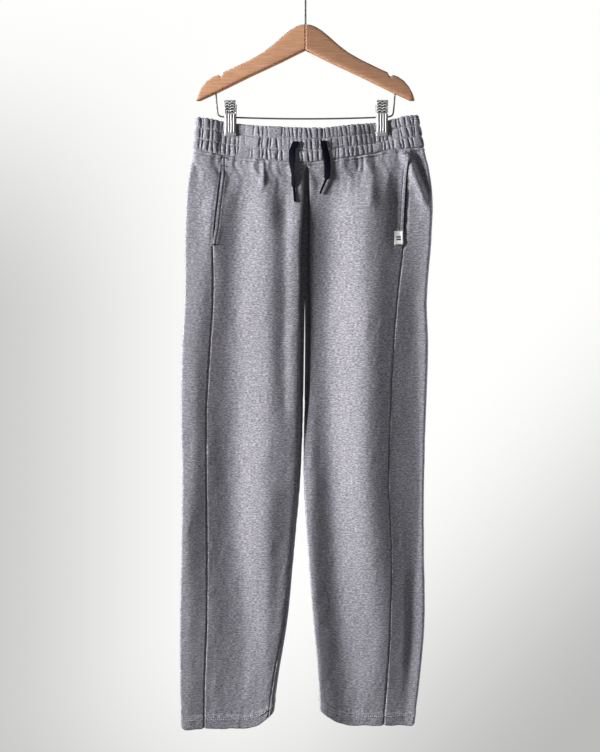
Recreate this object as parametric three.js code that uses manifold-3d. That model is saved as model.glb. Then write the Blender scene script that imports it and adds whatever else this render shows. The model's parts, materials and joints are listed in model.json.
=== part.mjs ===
// Straight-leg sweatpants clipped to a wooden trouser hanger, in millimetres.
// +Z is up, +X is to the right as seen from the front, and the front faces -Y.
// Left and right are as seen from the front. The origin is the underside of the
// hook's bend, where a rail carries the hanger.
import * as THREE from "three";
import { mergeVertices } from "three/addons/utils/BufferGeometryUtils.js";
import Module from "manifold-3d";

const wasm = await Module();
wasm.setup();

// Driving sizes of the hanger
const HOOK = { wire: 3, bend: 20, turn: 60, end: 195, stem: 46, seat: 22 };
const ARM = { thick: 12, sweep: 4, joint: 0.3 };
const BAR = {
  wire: 2.6, top: 143.5, foot: 141, corner: 7, low: 106, height: -242.6, sag: 3.5, seat: 8, sides: 8,
};
const CLIP = { wide: 18.6, tall: 58, plate: 1.2, above: 27, flare: 7, lip: 3.4 };
const SPRING = { long: 13, radius: 4.6 };
const CLIP_PLACES = { left: -120.5, right: 122.4 };
const HOLE_PLAY = 0.4;

// Driving sizes of the garment
const GARMENT_Y = 10;
const WAIST_SEAM_Z = -318.5;
const LEG_DROP = 906;
const CROTCH_DROP = 218;
const SEAM_GAP = 0.3;
const WAIST_GAP = 0.5;
const CLOTH = 2;
const HEM = { deep: 20, extra: 1.2, rise: 26, from: 0.62, power: 2.4, reach: 200 };
const HEM_LIFT = { left: 5.5, right: 10.5 };
const BAND = { thick: 3, rows: 3, gathers: 96, valley: 1.7, stitch: 0.9, uneven: 0.55 };
const TOP_BLEND = { side: 72, centre: 24, lift: 150 };
const ROUND = { band: 50, front_outer: 14, front_inner: 12, back_outer: 2.7, back_inner: 4.2 };
const POCKET = { from: 8, to: 134, slit: 3, cloth: 1.2, under: 0.6, deep: 150 };
const LABEL = { from_edge: 1, half: 7, top: 107, foot: 126, thick: 0.8, lift: 0.3 };
const CORD = { wide: 10, thick: 1.8, sides: 8, steps: 26 };
const TIP = { radius: 1.5, long: 22, sides: 10 };

// Top and bottom edges of the waistband across its width, and half its depth at each edge
const BAND_LINE = [
  { x: -182, top: -243.0, seam: -295.5, depth: 7.5, foot_depth: 8.5 },
  { x: -152, top: -246.4, seam: -301.5, depth: 7.0, foot_depth: 9.0 },
  { x: -132, top: -250.3, seam: -305.4, depth: 3.3, foot_depth: 7.2 },
  { x: -120.5, top: -252.1, seam: -307.2, depth: 3.3, foot_depth: 6.8 },
  { x: -109, top: -254.0, seam: -308.2, depth: 3.3, foot_depth: 7.2 },
  { x: -72, top: -258.5, seam: -313.3, depth: 8.5, foot_depth: 10.0 },
  { x: 0, top: -262.1, seam: -318.5, depth: 12.0, foot_depth: 12.5 },
  { x: 34, top: -261.6, seam: -315.0, depth: 11.0, foot_depth: 12.0 },
  { x: 76, top: -256.1, seam: -309.0, depth: 8.5, foot_depth: 10.5 },
  { x: 111, top: -252.5, seam: -302.8, depth: 3.3, foot_depth: 7.2 },
  { x: 122.4, top: -250.4, seam: -299.8, depth: 3.3, foot_depth: 6.8 },
  { x: 134, top: -248.1, seam: -297.4, depth: 3.3, foot_depth: 7.2 },
  { x: 156, top: -243.0, seam: -296.2, depth: 7.0, foot_depth: 9.0 },
  { x: 191, top: -239.0, seam: -293.4, depth: 7.5, foot_depth: 8.5 },
];
const BAND_ENDS = { left: { foot: -180.4, top: -175.9 }, right: { foot: 190.6, top: 180.7 } };

// Outline of each half below the waist seam: the outer fold, the side seam and the inner edge
const LEFT_OUTLINE = [
  { drop: 0, outer: -180.4, seam: -132.8, inner: 3.2 },
  { drop: 26, outer: -184.6, seam: -136.0, inner: 2.9 },
  { drop: 64, outer: -189.3, seam: -140.5, inner: 2.4 },
  { drop: 122, outer: -192.4, seam: -146.6, inner: 1.6 },
  { drop: 218, outer: -192.4, seam: -146.5, inner: -0.8 },
  { drop: 292, outer: -196.6, seam: -151.0, inner: -2.0 },
  { drop: 388, outer: -198.7, seam: -156.9, inner: -3.6 },
  { drop: 502, outer: -196.7, seam: -157.2, inner: -8.0 },
  { drop: 616, outer: -198.2, seam: -156.4, inner: -17.7 },
  { drop: 732, outer: -200.6, seam: -156.9, inner: -28.9 },
  { drop: 832, outer: -200.4, seam: -160.6, inner: -41.8 },
  { drop: 906, outer: -198.7, seam: -161.7, inner: -50.6 },
];
const RIGHT_OUTLINE = [
  { drop: 0, outer: 190.6, seam: 167.0, inner: 3.2 },
  { drop: 26, outer: 196.8, seam: 164.3, inner: 2.9 },
  { drop: 64, outer: 203.3, seam: 161.0, inner: 2.4 },
  { drop: 122, outer: 201.5, seam: 156.6, inner: 1.6 },
  { drop: 218, outer: 194.5, seam: 145.8, inner: -0.8 },
  { drop: 292, outer: 196.3, seam: 139.7, inner: -0.9 },
  { drop: 388, outer: 193.5, seam: 134.9, inner: -1.8 },
  { drop: 502, outer: 190.0, seam: 131.2, inner: -1.1 },
  { drop: 616, outer: 189.7, seam: 135.9, inner: 5.6 },
  { drop: 732, outer: 190.8, seam: 134.3, inner: 14.3 },
  { drop: 832, outer: 182.9, seam: 129.4, inner: 20.9 },
  { drop: 906, outer: 174.3, seam: 124.5, inner: 24.7 },
];

// Where the front face of each half bulges and sinks, from its outer fold in: the roll beside the
// outer fold, the step at the side seam, the valley, the crown and the lip beside the inner edge.
// Each has its place across and how far it stands out from the garment's middle plane.
const FRONT_COLUMNS = [
  "drop", "roll_x", "roll", "step_x", "step", "valley_x", "valley", "crown_x", "crown", "lip_x", "lip",
];
const rows_of = (names, rows) =>
  rows.map((row) => Object.fromEntries(names.map((name, i) => [name, row[i]])));
const LEFT_FRONT = rows_of(FRONT_COLUMNS, [
  [0, -165, 12, -126, 12, -100, 12, -62, 13, -18, 13],
  [60, -163, 18, -136, 20, -99, 16, -62, 24, -20, 21],
  [92, -168, 21, -140, 22, -103, 17, -62, 26.5, -20, 24],
  [219, -166, 24, -147, 21, -112, 16, -61, 27, -22, 26],
  [347, -175, 24, -154, 19.5, -113, 14, -56, 26.5, -24, 23],
  [474, -175, 22, -157, 18, -114, 11.5, -62, 24, -26, 22],
  [601, -184, 22, -155, 15, -114, 9.5, -65, 19, -41, 15.5],
  [728, -182, 18.5, -155, 15, -105, 9.5, -70, 16, -50, 15],
  [906, -187, 14, -155, 11, -104, 10, -72, 12.5, -60, 12.5],
]);
const RIGHT_FRONT = rows_of(FRONT_COLUMNS, [
  [0, 176, 12, 158, 12, 32, 13, 98, 12, 12, 13],
  [60, 190, 13.5, 150, 15.5, 45, 15.5, 95, 26.5, 11, 18.5],
  [92, 190, 17.5, 158, 16.5, 40, 15.5, 98, 28.5, 11, 19],
  [219, 176, 14.5, 146, 20, 40, 15.8, 97, 31, 9, 19.5],
  [347, 178, 12.5, 143, 19, 37, 15.8, 96, 30.5, 9, 20],
  [474, 181, 11, 144, 17, 40, 14.2, 95, 28.5, 9, 22],
  [601, 178, 10, 147, 14.5, 50, 13.2, 104, 24, 14, 21],
  [728, 170, 9.5, 150, 13, 54, 12.2, 115, 19.5, 23, 18.5],
  [906, 161, 10.5, 144, 10, 72, 10, 113, 11.5, 34, 16],
]);

// The back face's stand-off, where the front and back edges lie at the middle seams, and how far
// the inseam of the left leg lies round on the front face
const DEPTHS = [
  { drop: 0, back: 12, front_edge: 1, back_edge: 13, inseam: 0 },
  { drop: 26, back: 14, front_edge: 2, back_edge: 15, inseam: 0 },
  { drop: 64, back: 17, front_edge: 3.5, back_edge: 17, inseam: 0 },
  { drop: 122, back: 20, front_edge: 5, back_edge: 18, inseam: 0 },
  { drop: 180, back: 21, front_edge: 7, back_edge: 15, inseam: 0 },
  { drop: 218, back: 22, front_edge: 10, back_edge: 10, inseam: 0 },
  { drop: 388, back: 22, front_edge: 9, back_edge: 9, inseam: 0 },
  { drop: 616, back: 20, front_edge: 6, back_edge: 6, inseam: 1 },
  { drop: 732, back: 18, front_edge: 4, back_edge: 4, inseam: 5 },
  { drop: 832, back: 16, front_edge: 2, back_edge: 2, inseam: 8 },
  { drop: 906, back: 14, front_edge: 1, back_edge: 1, inseam: 9 },
];

// Folds of the hanging cloth: a ridge where height is positive, a trough where it is negative
const FRONT_FOLDS = [
  { half: "left", from: 4, to: 360, top: -42, foot: -42, width: 9, height: -3 },
  { half: "left", from: 340, to: 620, top: -36, foot: -44, width: 12, height: -1.2 },
  { half: "right", from: 4, to: 105, top: 168, foot: 186, width: 9, height: 4 },
  { half: "right", from: 6, to: 150, top: 150, foot: 140, width: 10, height: -3 },
];
const BACK_FOLDS = [
  { half: "left", from: 4, to: 300, top: -150, foot: -140, width: 15, height: -5 },
  { half: "left", from: 0, to: 860, top: -96, foot: -112, width: 28, height: 5 },
  { half: "left", from: 10, to: 520, top: -52, foot: -60, width: 15, height: -7 },
  { half: "left", from: 500, to: 900, top: -150, foot: -160, width: 15, height: -4 },
  { half: "right", from: 6, to: 420, top: 142, foot: 130, width: 15, height: -6 },
  { half: "right", from: 0, to: 870, top: 84, foot: 98, width: 28, height: 5 },
  { half: "right", from: 12, to: 380, top: 40, foot: 46, width: 14, height: -6 },
  { half: "right", from: 480, to: 900, top: 150, foot: 134, width: 15, height: -4 },
];

// Rows of the panels' points, as drops below the waist seam
const ROWS = [
  0, 8, 26, 50, 80, 107, 126, 150, 184, 210, 218, 236, 270, 330, 400,
  470, 540, 610, 680, 750, 815, 862, 885, 890, 906,
];

// Columns of the panels' points: the first lie at set distances from the side seam, so that the
// pocket and the label can share them, and the rest are evenly spread
const COLUMNS = {
  front: { first: [0, ...[0, 1, 2].map((k) => LABEL.from_edge + k * LABEL.half)], count: 19 },
  back: { first: [0, 10], count: 21 },
};

// Routes of the two drawcord ends from the waistband's openings down. Clear is how far the
// middle of the cord lies in front of the cloth, and twist turns the flat of it, in degrees.
const CORD_ROUTES = {
  left: [
    { x: -13.8, z: -286.5, clear: 0.6, twist: 0 },
    { x: -14.0, z: -286.7, clear: 2.0, twist: 0 },
    { x: -15.4, z: -288.6, clear: 3.2, twist: 4 },
    { x: -18.4, z: -293.5, clear: 2.9, twist: 8 },
    { x: -21.3, z: -300.5, clear: 2.2, twist: 10 },
    { x: -22.0, z: -309.0, clear: 2.0, twist: 16 },
    { x: -21.9, z: -318.5, clear: 3.1, twist: 28 },
    { x: -21.5, z: -328.5, clear: 4.4, twist: 48 },
    { x: -20.9, z: -340.5, clear: 5.0, twist: 66 },
    { x: -19.7, z: -351.5, clear: 3.8, twist: 44 },
    { x: -18.5, z: -361.8, clear: 3.2, twist: 30 },
  ],
  right: [
    { x: 28.1, z: -285.0, clear: 0.6, twist: 0 },
    { x: 28.2, z: -285.2, clear: 2.0, twist: 0 },
    { x: 28.8, z: -287.4, clear: 3.1, twist: -3 },
    { x: 29.8, z: -293.5, clear: 2.9, twist: -6 },
    { x: 31.6, z: -301.5, clear: 2.3, twist: -8 },
    { x: 33.6, z: -310.0, clear: 2.2, twist: -8 },
    { x: 34.7, z: -318.5, clear: 2.6, twist: -6 },
    { x: 35.0, z: -327.5, clear: 2.8, twist: 0 },
    { x: 34.6, z: -336.5, clear: 3.2, twist: 8 },
    { x: 33.6, z: -343.5, clear: 3.6, twist: 14 },
    { x: 31.4, z: -349.0, clear: 3.4, twist: 20 },
  ],
};
const TIP_ENDS = { left: { x: -16.9, z: -384.5, clear: 3 }, right: { x: 23.6, z: -367.5, clear: 3 } };

// Outline of one wooden arm, from the joint out: x from the middle, z from the arm's top
const ARM_OUTLINE = [
  [0, 0],
  [7, -0.3],
  [15, -2.8],
  [25, -8.5],
  [37, -18],
  [52, -31],
  [68, -43],
  [88, -54],
  [112, -65],
  [133, -75],
];
const ARM_NOTCH = [
  [133.6, -79],
  [136, -80.5],
  [140, -77.5],
];
const ARM_TIP = [
  [148, -80],
  [158, -86.5],
  [166, -96],
  [172, -107],
  [175, -115],
  [174.5, -118.5],
  [170, -117.5],
];
const ARM_UNDERSIDE = [
  [137, -103.5],
  [88, -80.5],
  [38, -58.5],
  [3, -42.5],
  [0, -40.5],
];
const HOOK_RISE = HOOK.stem + HOOK.bend * (1 + 2 * Math.sin(THREE.MathUtils.degToRad(HOOK.turn)));
const ARM_TOP_Z = HOOK.wire / 2 - HOOK_RISE;

const smooth = (from, to, at) => THREE.MathUtils.smoothstep(at, from, to);
const mix = THREE.MathUtils.lerp;

// A column of a table, read smoothly between its rows.
function column(table, by, name) {
  const x = table.map((row) => row[by]);
  const y = table.map((row) => row[name]);
  const last = x.length - 1;
  const slope = (i) => {
    const a = Math.max(i - 1, 0);
    const b = Math.min(i + 1, last);
    return (y[b] - y[a]) / (x[b] - x[a]);
  };
  return (at) => {
    if (at <= x[0]) return y[0];
    if (at >= x[last]) return y[last];
    const i = x.findIndex((v) => v > at) - 1;
    const h = x[i + 1] - x[i];
    const t = (at - x[i]) / h;
    const a = (1 + 2 * t) * (1 - t) ** 2;
    const b = t * (1 - t) ** 2;
    const c = t * t * (3 - 2 * t);
    const d = t * t * (t - 1);
    return a * y[i] + b * h * slope(i) + c * y[i + 1] + d * h * slope(i + 1);
  };
}

const band_top = column(BAND_LINE, "x", "top");
const band_seam = column(BAND_LINE, "x", "seam");
const band_depth = column(BAND_LINE, "x", "depth");
const band_foot_depth = column(BAND_LINE, "x", "foot_depth");
const depth = Object.fromEntries(
  Object.keys(DEPTHS[0]).map((name) => [name, column(DEPTHS, "drop", name)]),
);

function half(name, table, front, sign) {
  return {
    name,
    sign,
    front: Object.fromEntries(Object.keys(front[0]).map((key) => [key, column(front, "drop", key)])),
    lines: new Map(),
    outer: column(table, "drop", "outer"),
    seam: column(table, "drop", "seam"),
    inner: column(table, "drop", "inner"),
  };
}
const LEFT = half("left", LEFT_OUTLINE, LEFT_FRONT, 1);
const RIGHT = half("right", RIGHT_OUTLINE, RIGHT_FRONT, -1);

// How far the front face of a half stands out at a drop, as a line across.
function front_line(side, drop) {
  if (!side.lines.has(drop)) {
    const { front } = side;
    const at = (x, stand) => ({ x, stand });
    const inner = side === LEFT ? ["valley", "crown", "lip"] : ["crown", "valley", "lip"];
    const line = ["roll", "step", ...inner].map((key) => at(front[key + "_x"](drop), front[key](drop)));
    line.unshift(at(side.outer(drop), line[0].stand));
    line.push(at(side.inner(drop), line[line.length - 1].stand));
    if (side === RIGHT) line.reverse();
    side.lines.set(drop, column(line, "x", "stand"));
  }
  return side.lines.get(drop);
}

// How far the folds push a face out at a place.
function fold_height(folds, which, x, drop) {
  let sum = 0;
  for (const fold of folds) {
    if (fold.half !== which || drop <= fold.from || drop >= fold.to) continue;
    const length = fold.to - fold.from;
    const along = (drop - fold.from) / length;
    const fade = Math.min(0.3, 60 / length);
    const window = smooth(0, fade, along) * (1 - smooth(1 - fade, 1, along));
    const off = (x - mix(fold.top, fold.foot, along)) / fold.width;
    sum += fold.height * window * Math.exp(-off * off);
  }
  return sum;
}

// A rounded rise across a face: 0 at both edges and 1 in between.
function crown(u, power) {
  return Math.sqrt(Math.max(0, 1 - Math.abs(2 * u - 1) ** power));
}

// A point of one half's outer face. The turn runs from -PI at the inner edge of the front face,
// through 0 at the outer fold, to PI at the inner edge of the back face, and on round the inseam.
function face_point(side, turn, drop) {
  const wrapped = turn > Math.PI ? turn - 2 * Math.PI : turn;
  const front = wrapped < 0;
  const u = (1 - Math.cos(wrapped)) / 2;
  const inner = side.inner(drop) - (side.sign * SEAM_GAP) / 2;
  const x = mix(side.outer(drop), inner, u);
  const facing = front ? -1 : 1;

  const across = crown((x - LEFT.outer(drop)) / (RIGHT.outer(drop) - LEFT.outer(drop)), ROUND.band);
  const at_band = facing * band_foot_depth(x) * across;

  const rise = crown(u, ROUND[(front ? "front_" : "back_") + (u < 0.5 ? "outer" : "inner")]);
  const edge = depth[front || drop > CROTCH_DROP ? "front_edge" : "back_edge"](drop) * u * u;
  const folds = fold_height(front ? FRONT_FOLDS : BACK_FOLDS, side.name, x, drop);
  const full = front ? front_line(side, drop)(x) : depth.back(drop);
  const stand = full * rise + folds * smooth(0, 0.8, rise);
  const at_leg = edge + facing * stand;

  const reach = mix(TOP_BLEND.side, TOP_BLEND.centre, smooth(0.86, 1, u));
  const y = mix(at_band, at_leg, smooth(0, reach, drop));

  const lift = (band_seam(x) - WAIST_SEAM_Z) * (1 - smooth(0, TOP_BLEND.lift, drop));
  const curl = HEM.rise * Math.max(0, (u - HEM.from) / (1 - HEM.from)) ** HEM.power;
  const hem = (curl + HEM_LIFT[side.name]) * smooth(LEG_DROP - HEM.reach, LEG_DROP, drop);
  return new THREE.Vector3(x, y, WAIST_SEAM_Z - WAIST_GAP - drop + lift + hem);
}

// The outward direction of the face at a place, and how far a turn of 1 moves the point there.
function face_normal(side, turn, drop) {
  const step = 1e-3;
  const ends = [Math.max(-Math.PI, turn - step), turn + step];
  if (Math.abs(turn - Math.PI) < step) ends[1] = Math.PI;
  const along = face_point(side, ends[1], drop).sub(face_point(side, ends[0], drop));
  const upper = Math.max(0, drop - 0.5);
  const lower = Math.min(LEG_DROP, drop + 0.5);
  const down = face_point(side, turn, lower).sub(face_point(side, turn, upper));
  const speed = along.length() / (ends[1] - ends[0]);
  return { normal: along.cross(down).normalize().multiplyScalar(side.sign), speed };
}

const turn_at = (side, x, drop) => {
  const width = side.inner(drop) - (side.sign * SEAM_GAP) / 2 - side.outer(drop);
  return -Math.acos(THREE.MathUtils.clamp(1 - (2 * (x - side.outer(drop))) / width, -1, 1));
};
const gap_turn = (side, turn, drop) => SEAM_GAP / 2 / face_normal(side, turn, drop).speed;
const slit = (drop) => {
  const open = smooth(POCKET.from, POCKET.from + 26, drop);
  return POCKET.slit * open * (1 - smooth(POCKET.to - 30, POCKET.to, drop));
};

// Where a panel starts and ends round the half, at a drop.
function side_seam_turn(side, drop) {
  return turn_at(side, side.seam(drop), drop);
}
function front_inner_turn(side, drop) {
  if (drop < CROTCH_DROP) return -Math.PI;
  const round = side === LEFT ? depth.inseam(drop) : 0;
  if (round <= 0) return -Math.PI + gap_turn(side, -Math.PI + 0.01, drop);
  const turn = turn_at(side, side.inner(drop) - side.sign * round, drop);
  return turn + gap_turn(side, turn, drop);
}
function back_inner_turn(side, drop) {
  if (drop < CROTCH_DROP) return Math.PI;
  const round = side === LEFT ? depth.inseam(drop) : 0;
  if (round <= 0) return Math.PI - gap_turn(side, Math.PI - 0.01, drop);
  const turn = turn_at(side, side.inner(drop) - side.sign * round, drop);
  return 2 * Math.PI + turn - gap_turn(side, turn, drop);
}
function panel_turns(side, kind, drop) {
  const seam = side_seam_turn(side, drop);
  const gap = gap_turn(side, seam, drop);
  if (kind === "back") return [seam + gap, back_inner_turn(side, drop)];
  const open = turn_at(side, side.seam(drop) + side.sign * slit(drop), drop);
  return [open - gap, front_inner_turn(side, drop)];
}

// The turns of a panel's columns at a drop, by length along the face from the side seam.
function column_turns(side, kind, drop) {
  const [from, to] = panel_turns(side, kind, drop);
  const { first, count } = COLUMNS[kind];
  const fine = 160;
  const turns = Array.from({ length: fine + 1 }, (_, i) => mix(from, to, i / fine));
  const points = turns.map((turn) => face_point(side, turn, drop));
  const along = [0];
  for (let i = 1; i <= fine; i++) along.push(along[i - 1] + points[i].distanceTo(points[i - 1]));
  const last = first.length - 1;
  return Array.from({ length: count + 1 }, (_, k) => {
    const want = k <= last ? first[k] : mix(first[last], along[fine], (k - last) / (count - last));
    const i = Math.min(fine - 1, Math.max(0, along.findIndex((v) => v >= want - 1e-9) - 1));
    const share = (want - along[i]) / Math.max(1e-9, along[i + 1] - along[i]);
    return mix(turns[i], turns[i + 1], share);
  });
}

// Points of a half's face moved inwards by a distance.
function points_under(side, drop, turns, under) {
  return turns.map((turn) => {
    const { normal } = face_normal(side, turn, drop);
    return face_point(side, turn, drop).addScaledVector(normal, -under);
  });
}

// A closed wall from two grids of points that face each other, the outer one and the inner one.
function wall_geometry(outer, inner, flip) {
  const rows = outer.length;
  const cols = outer[0].length;
  const points = [...outer.flat(), ...inner.flat()];
  const index = [];
  const quad = (a, b, c, d) => {
    if (flip) index.push(a, c, b, a, d, c);
    else index.push(a, b, c, a, c, d);
  };
  const out = (r, c) => r * cols + c;
  const inn = (r, c) => rows * cols + r * cols + c;
  for (let r = 0; r + 1 < rows; r++)
    for (let c = 0; c + 1 < cols; c++) {
      quad(out(r, c), out(r, c + 1), out(r + 1, c + 1), out(r + 1, c));
      quad(inn(r, c), inn(r + 1, c), inn(r + 1, c + 1), inn(r, c + 1));
    }
  for (let c = 0; c + 1 < cols; c++) {
    quad(out(0, c), inn(0, c), inn(0, c + 1), out(0, c + 1));
    quad(out(rows - 1, c), out(rows - 1, c + 1), inn(rows - 1, c + 1), inn(rows - 1, c));
  }
  for (let r = 0; r + 1 < rows; r++) {
    quad(out(r, 0), out(r + 1, 0), inn(r + 1, 0), inn(r, 0));
    quad(out(r, cols - 1), inn(r, cols - 1), inn(r + 1, cols - 1), out(r + 1, cols - 1));
  }
  return indexed(points, index);
}

function indexed(points, index) {
  const geometry = new THREE.BufferGeometry().setFromPoints(points);
  geometry.setIndex(index);
  geometry.computeVertexNormals();
  return geometry;
}

// One leg panel, from the waist seam to the hem, thicker where the hem is turned up.
function panel_geometry(side, kind) {
  const outer = [];
  const inner = [];
  for (const drop of ROWS) {
    const turns = column_turns(side, kind, drop);
    const thick = CLOTH + (drop > LEG_DROP - HEM.deep ? HEM.extra : 0);
    outer.push(points_under(side, drop, turns, 0));
    inner.push(points_under(side, drop, turns, thick));
  }
  return wall_geometry(outer, inner, (kind === "back") === (side === RIGHT));
}

// The layer behind a pocket slit, which runs under the front panel's edge and the back panel's.
function pocket_geometry(side) {
  const outer = [];
  const inner = [];
  for (const drop of ROWS.filter((row) => row > 0 && row <= POCKET.deep)) {
    const front = column_turns(side, "front", drop).slice(0, COLUMNS.front.first.length);
    const back = column_turns(side, "back", drop).slice(0, COLUMNS.back.first.length);
    const turns = [...front.reverse(), ...back];
    outer.push(points_under(side, drop, turns, CLOTH + POCKET.under));
    inner.push(points_under(side, drop, turns, CLOTH + POCKET.under + POCKET.cloth));
  }
  return wall_geometry(outer, inner, side === RIGHT);
}

// The small label on the right front panel, beside the pocket slit.
function label_geometry() {
  const place = (over) =>
    [LABEL.top, LABEL.foot].map((drop) =>
      points_under(RIGHT, drop, column_turns(RIGHT, "front", drop).slice(1, 4), -over),
    );
  return wall_geometry(place(LABEL.lift + LABEL.thick), place(LABEL.lift), false);
}

// A number from 0 to 1 that looks random but is the same each time.
function scatter(seed) {
  const value = Math.sin(seed * 12.9898) * 43758.5453;
  return value - Math.floor(value);
}

// The waistband's line in plan, as a share of its width and a facing, by length round it.
function band_line() {
  const fine = 1200;
  const samples = [];
  let along = 0;
  let before = null;
  for (let i = 0; i <= fine; i++) {
    const turn = mix(-Math.PI, Math.PI, i / fine);
    const share = (1 - Math.cos(turn)) / 2;
    const x = mix(BAND_ENDS.right.foot, BAND_ENDS.left.foot, 1 - share);
    const y = Math.sign(turn) * band_foot_depth(x) * crown(share, ROUND.band);
    if (before) along += Math.hypot(x - before[0], y - before[1]);
    samples.push({ along, turn });
    before = [x, y];
  }
  return { samples, length: along };
}

function band_point(turn, height) {
  const share = (1 - Math.cos(turn)) / 2;
  const left = mix(BAND_ENDS.left.foot, BAND_ENDS.left.top, height);
  const right = mix(BAND_ENDS.right.foot, BAND_ENDS.right.top, height);
  const x = mix(left, right, share);
  const half_depth = mix(band_foot_depth(x), band_depth(x), smooth(0, 0.5, height));
  const y = Math.sign(turn) * half_depth * crown(share, ROUND.band);
  return new THREE.Vector3(x, y, mix(band_seam(x), band_top(x), height));
}

function band_normal(turn, height) {
  const step = 2e-3;
  const along = band_point(turn + step, height).sub(band_point(turn - step, height));
  return new THREE.Vector3(along.y, -along.x, 0).normalize().negate();
}

// The waistband: a ring with three rows of gathers between lines of stitching.
function waistband_geometry() {
  const { samples, length } = band_line();
  const turn_along = (want) => {
    const at = ((want % length) + length) % length;
    const i = Math.max(1, samples.findIndex((s) => s.along >= at));
    const a = samples[i - 1];
    const b = samples[i];
    return mix(a.turn, b.turn, (at - a.along) / Math.max(1e-9, b.along - a.along));
  };
  const pitch = length / BAND.gathers;
  const around = [];
  for (let g = 0; g < BAND.gathers; g++) {
    const start = (g + BAND.uneven * (scatter(g) - 0.5)) * pitch;
    const next = (g + 1 + BAND.uneven * (scatter((g + 1) % BAND.gathers) - 0.5)) * pitch;
    for (const [share, valley] of [
      [0, 1],
      [0.3, 0],
      [0.7, 0],
    ])
      around.push({
        turn: turn_along(mix(start, next, share)),
        valley: valley * (0.45 + 0.55 * scatter(g + 0.5)),
      });
  }
  const clipped = (x) => {
    const near = Math.min(Math.abs(x - CLIP_PLACES.left), Math.abs(x - CLIP_PLACES.right));
    return smooth(CLIP.wide * 0.4, CLIP.wide * 0.8, near);
  };
  const levels = 2 * BAND.rows;
  const outer = [];
  for (let level = 0; level <= levels; level++) {
    const height = level / levels;
    const puffed = level % 2 === 1;
    outer.push(
      around.map(({ turn, valley }) => {
        const point = band_point(turn, height);
        const loose = clipped(point.x);
        const inward = puffed ? BAND.valley * valley : BAND.stitch * (0.55 + 0.45 * valley);
        return point.addScaledVector(band_normal(turn, height), -inward * loose);
      }),
    );
  }
  const inside = (height) =>
    around.map(({ turn }) => {
      const inward = band_normal(turn, height).multiplyScalar(-BAND.thick);
      return band_point(turn, height).add(inward);
    });
  const rings = [inside(0), ...outer, inside(1)];
  const count = around.length;
  const index = [];
  for (let r = 0; r < rings.length; r++) {
    const upper = ((r + 1) % rings.length) * count;
    const lower = r * count;
    for (let c = 0; c < count; c++) {
      const next = (c + 1) % count;
      index.push(lower + c, upper + c, upper + next, lower + c, upper + next, lower + next);
    }
  }
  return indexed(rings.flat(), index);
}

// A round or flat bar swept along a route.
function swept_geometry(points, section, steps) {
  const knots = points.map((p) => new THREE.Vector3(...p));
  const path = new THREE.CatmullRomCurve3(knots, false, "centripetal");
  return new THREE.ExtrudeGeometry(section, { extrudePath: path, steps, bevelEnabled: false });
}

function round_section(radius, sides) {
  const corners = Array.from({ length: sides }, (_, i) => {
    const turn = (2 * Math.PI * i) / sides;
    return new THREE.Vector2(radius * Math.cos(turn), radius * Math.sin(turn));
  });
  return new THREE.Shape(corners);
}

// How far forward the cloth's front lies at a place seen from the front.
function front_y(x, z) {
  const side = x < 0 ? LEFT : RIGHT;
  if (z > band_seam(x)) {
    const height = (z - band_seam(x)) / (band_top(x) - band_seam(x));
    return -mix(band_foot_depth(x), band_depth(x), smooth(0, 0.5, height));
  }
  let drop = 0;
  for (let i = 0; i < 6; i++) drop += face_point(side, turn_at(side, x, drop), drop).z - z;
  return face_point(side, turn_at(side, x, drop), drop).y;
}

const cord_point = ({ x, z, clear }) => new THREE.Vector3(x, front_y(x, z) - clear, z);

// A flat drawcord end that narrows into its metal tip.
function cord_geometry(route) {
  const path = new THREE.CatmullRomCurve3(route.map(cord_point), false, "centripetal");
  const lengths = route.map(({ z }) => z);
  const twist_at = (z) => {
    const i = Math.max(1, lengths.findIndex((v) => v <= z + 1e-9));
    const share = THREE.MathUtils.clamp((z - lengths[i - 1]) / (lengths[i] - lengths[i - 1]), 0, 1);
    return THREE.MathUtils.degToRad(mix(route[i - 1].twist, route[i].twist, share));
  };
  const points = [];
  for (let r = 0; r <= CORD.steps; r++) {
    const share = r / CORD.steps;
    const centre = path.getPointAt(share);
    const along = path.getTangentAt(share);
    const narrow = smooth(0.86, 1, share);
    const width = mix(CORD.wide, 3, narrow);
    const thick = mix(CORD.thick, 2.4, narrow);
    const across = new THREE.Vector3(1, 0, 0).addScaledVector(along, -along.x).normalize();
    across.applyAxisAngle(along, twist_at(centre.z));
    const out = new THREE.Vector3().crossVectors(along, across).normalize();
    for (let i = 0; i < CORD.sides; i++) {
      const turn = (2 * Math.PI * (i + 0.5)) / CORD.sides;
      const point = centre.clone().addScaledVector(across, (width / 2) * Math.cos(turn));
      points.push(point.addScaledVector(out, (thick / 2) * Math.sin(turn)));
    }
  }
  const sides = CORD.sides;
  const index = [];
  for (let r = 0; r < CORD.steps; r++)
    for (let c = 0; c < sides; c++) {
      const [here, next] = [r * sides + c, r * sides + ((c + 1) % sides)];
      index.push(here, next, next + sides, here, next + sides, here + sides);
    }
  const last = CORD.steps * sides;
  for (let c = 1; c + 1 < sides; c++) {
    index.push(0, c + 1, c);
    index.push(last, last + c, last + c + 1);
  }
  return indexed(points, index);
}

// The metal tip of a drawcord end: a thin round bar in line with the cord.
function tip_mesh(name, route, end) {
  const from = cord_point(route[route.length - 1]);
  const along = cord_point(end).sub(from).normalize();
  const geometry = new THREE.CylinderGeometry(TIP.radius, TIP.radius * 0.8, TIP.long, TIP.sides);
  const mesh = named(name, geometry, STEEL);
  mesh.position.copy(from).addScaledVector(along, SEAM_GAP + TIP.long / 2);
  mesh.quaternion.setFromUnitVectors(new THREE.Vector3(0, -1, 0), along);
  return mesh;
}

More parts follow.
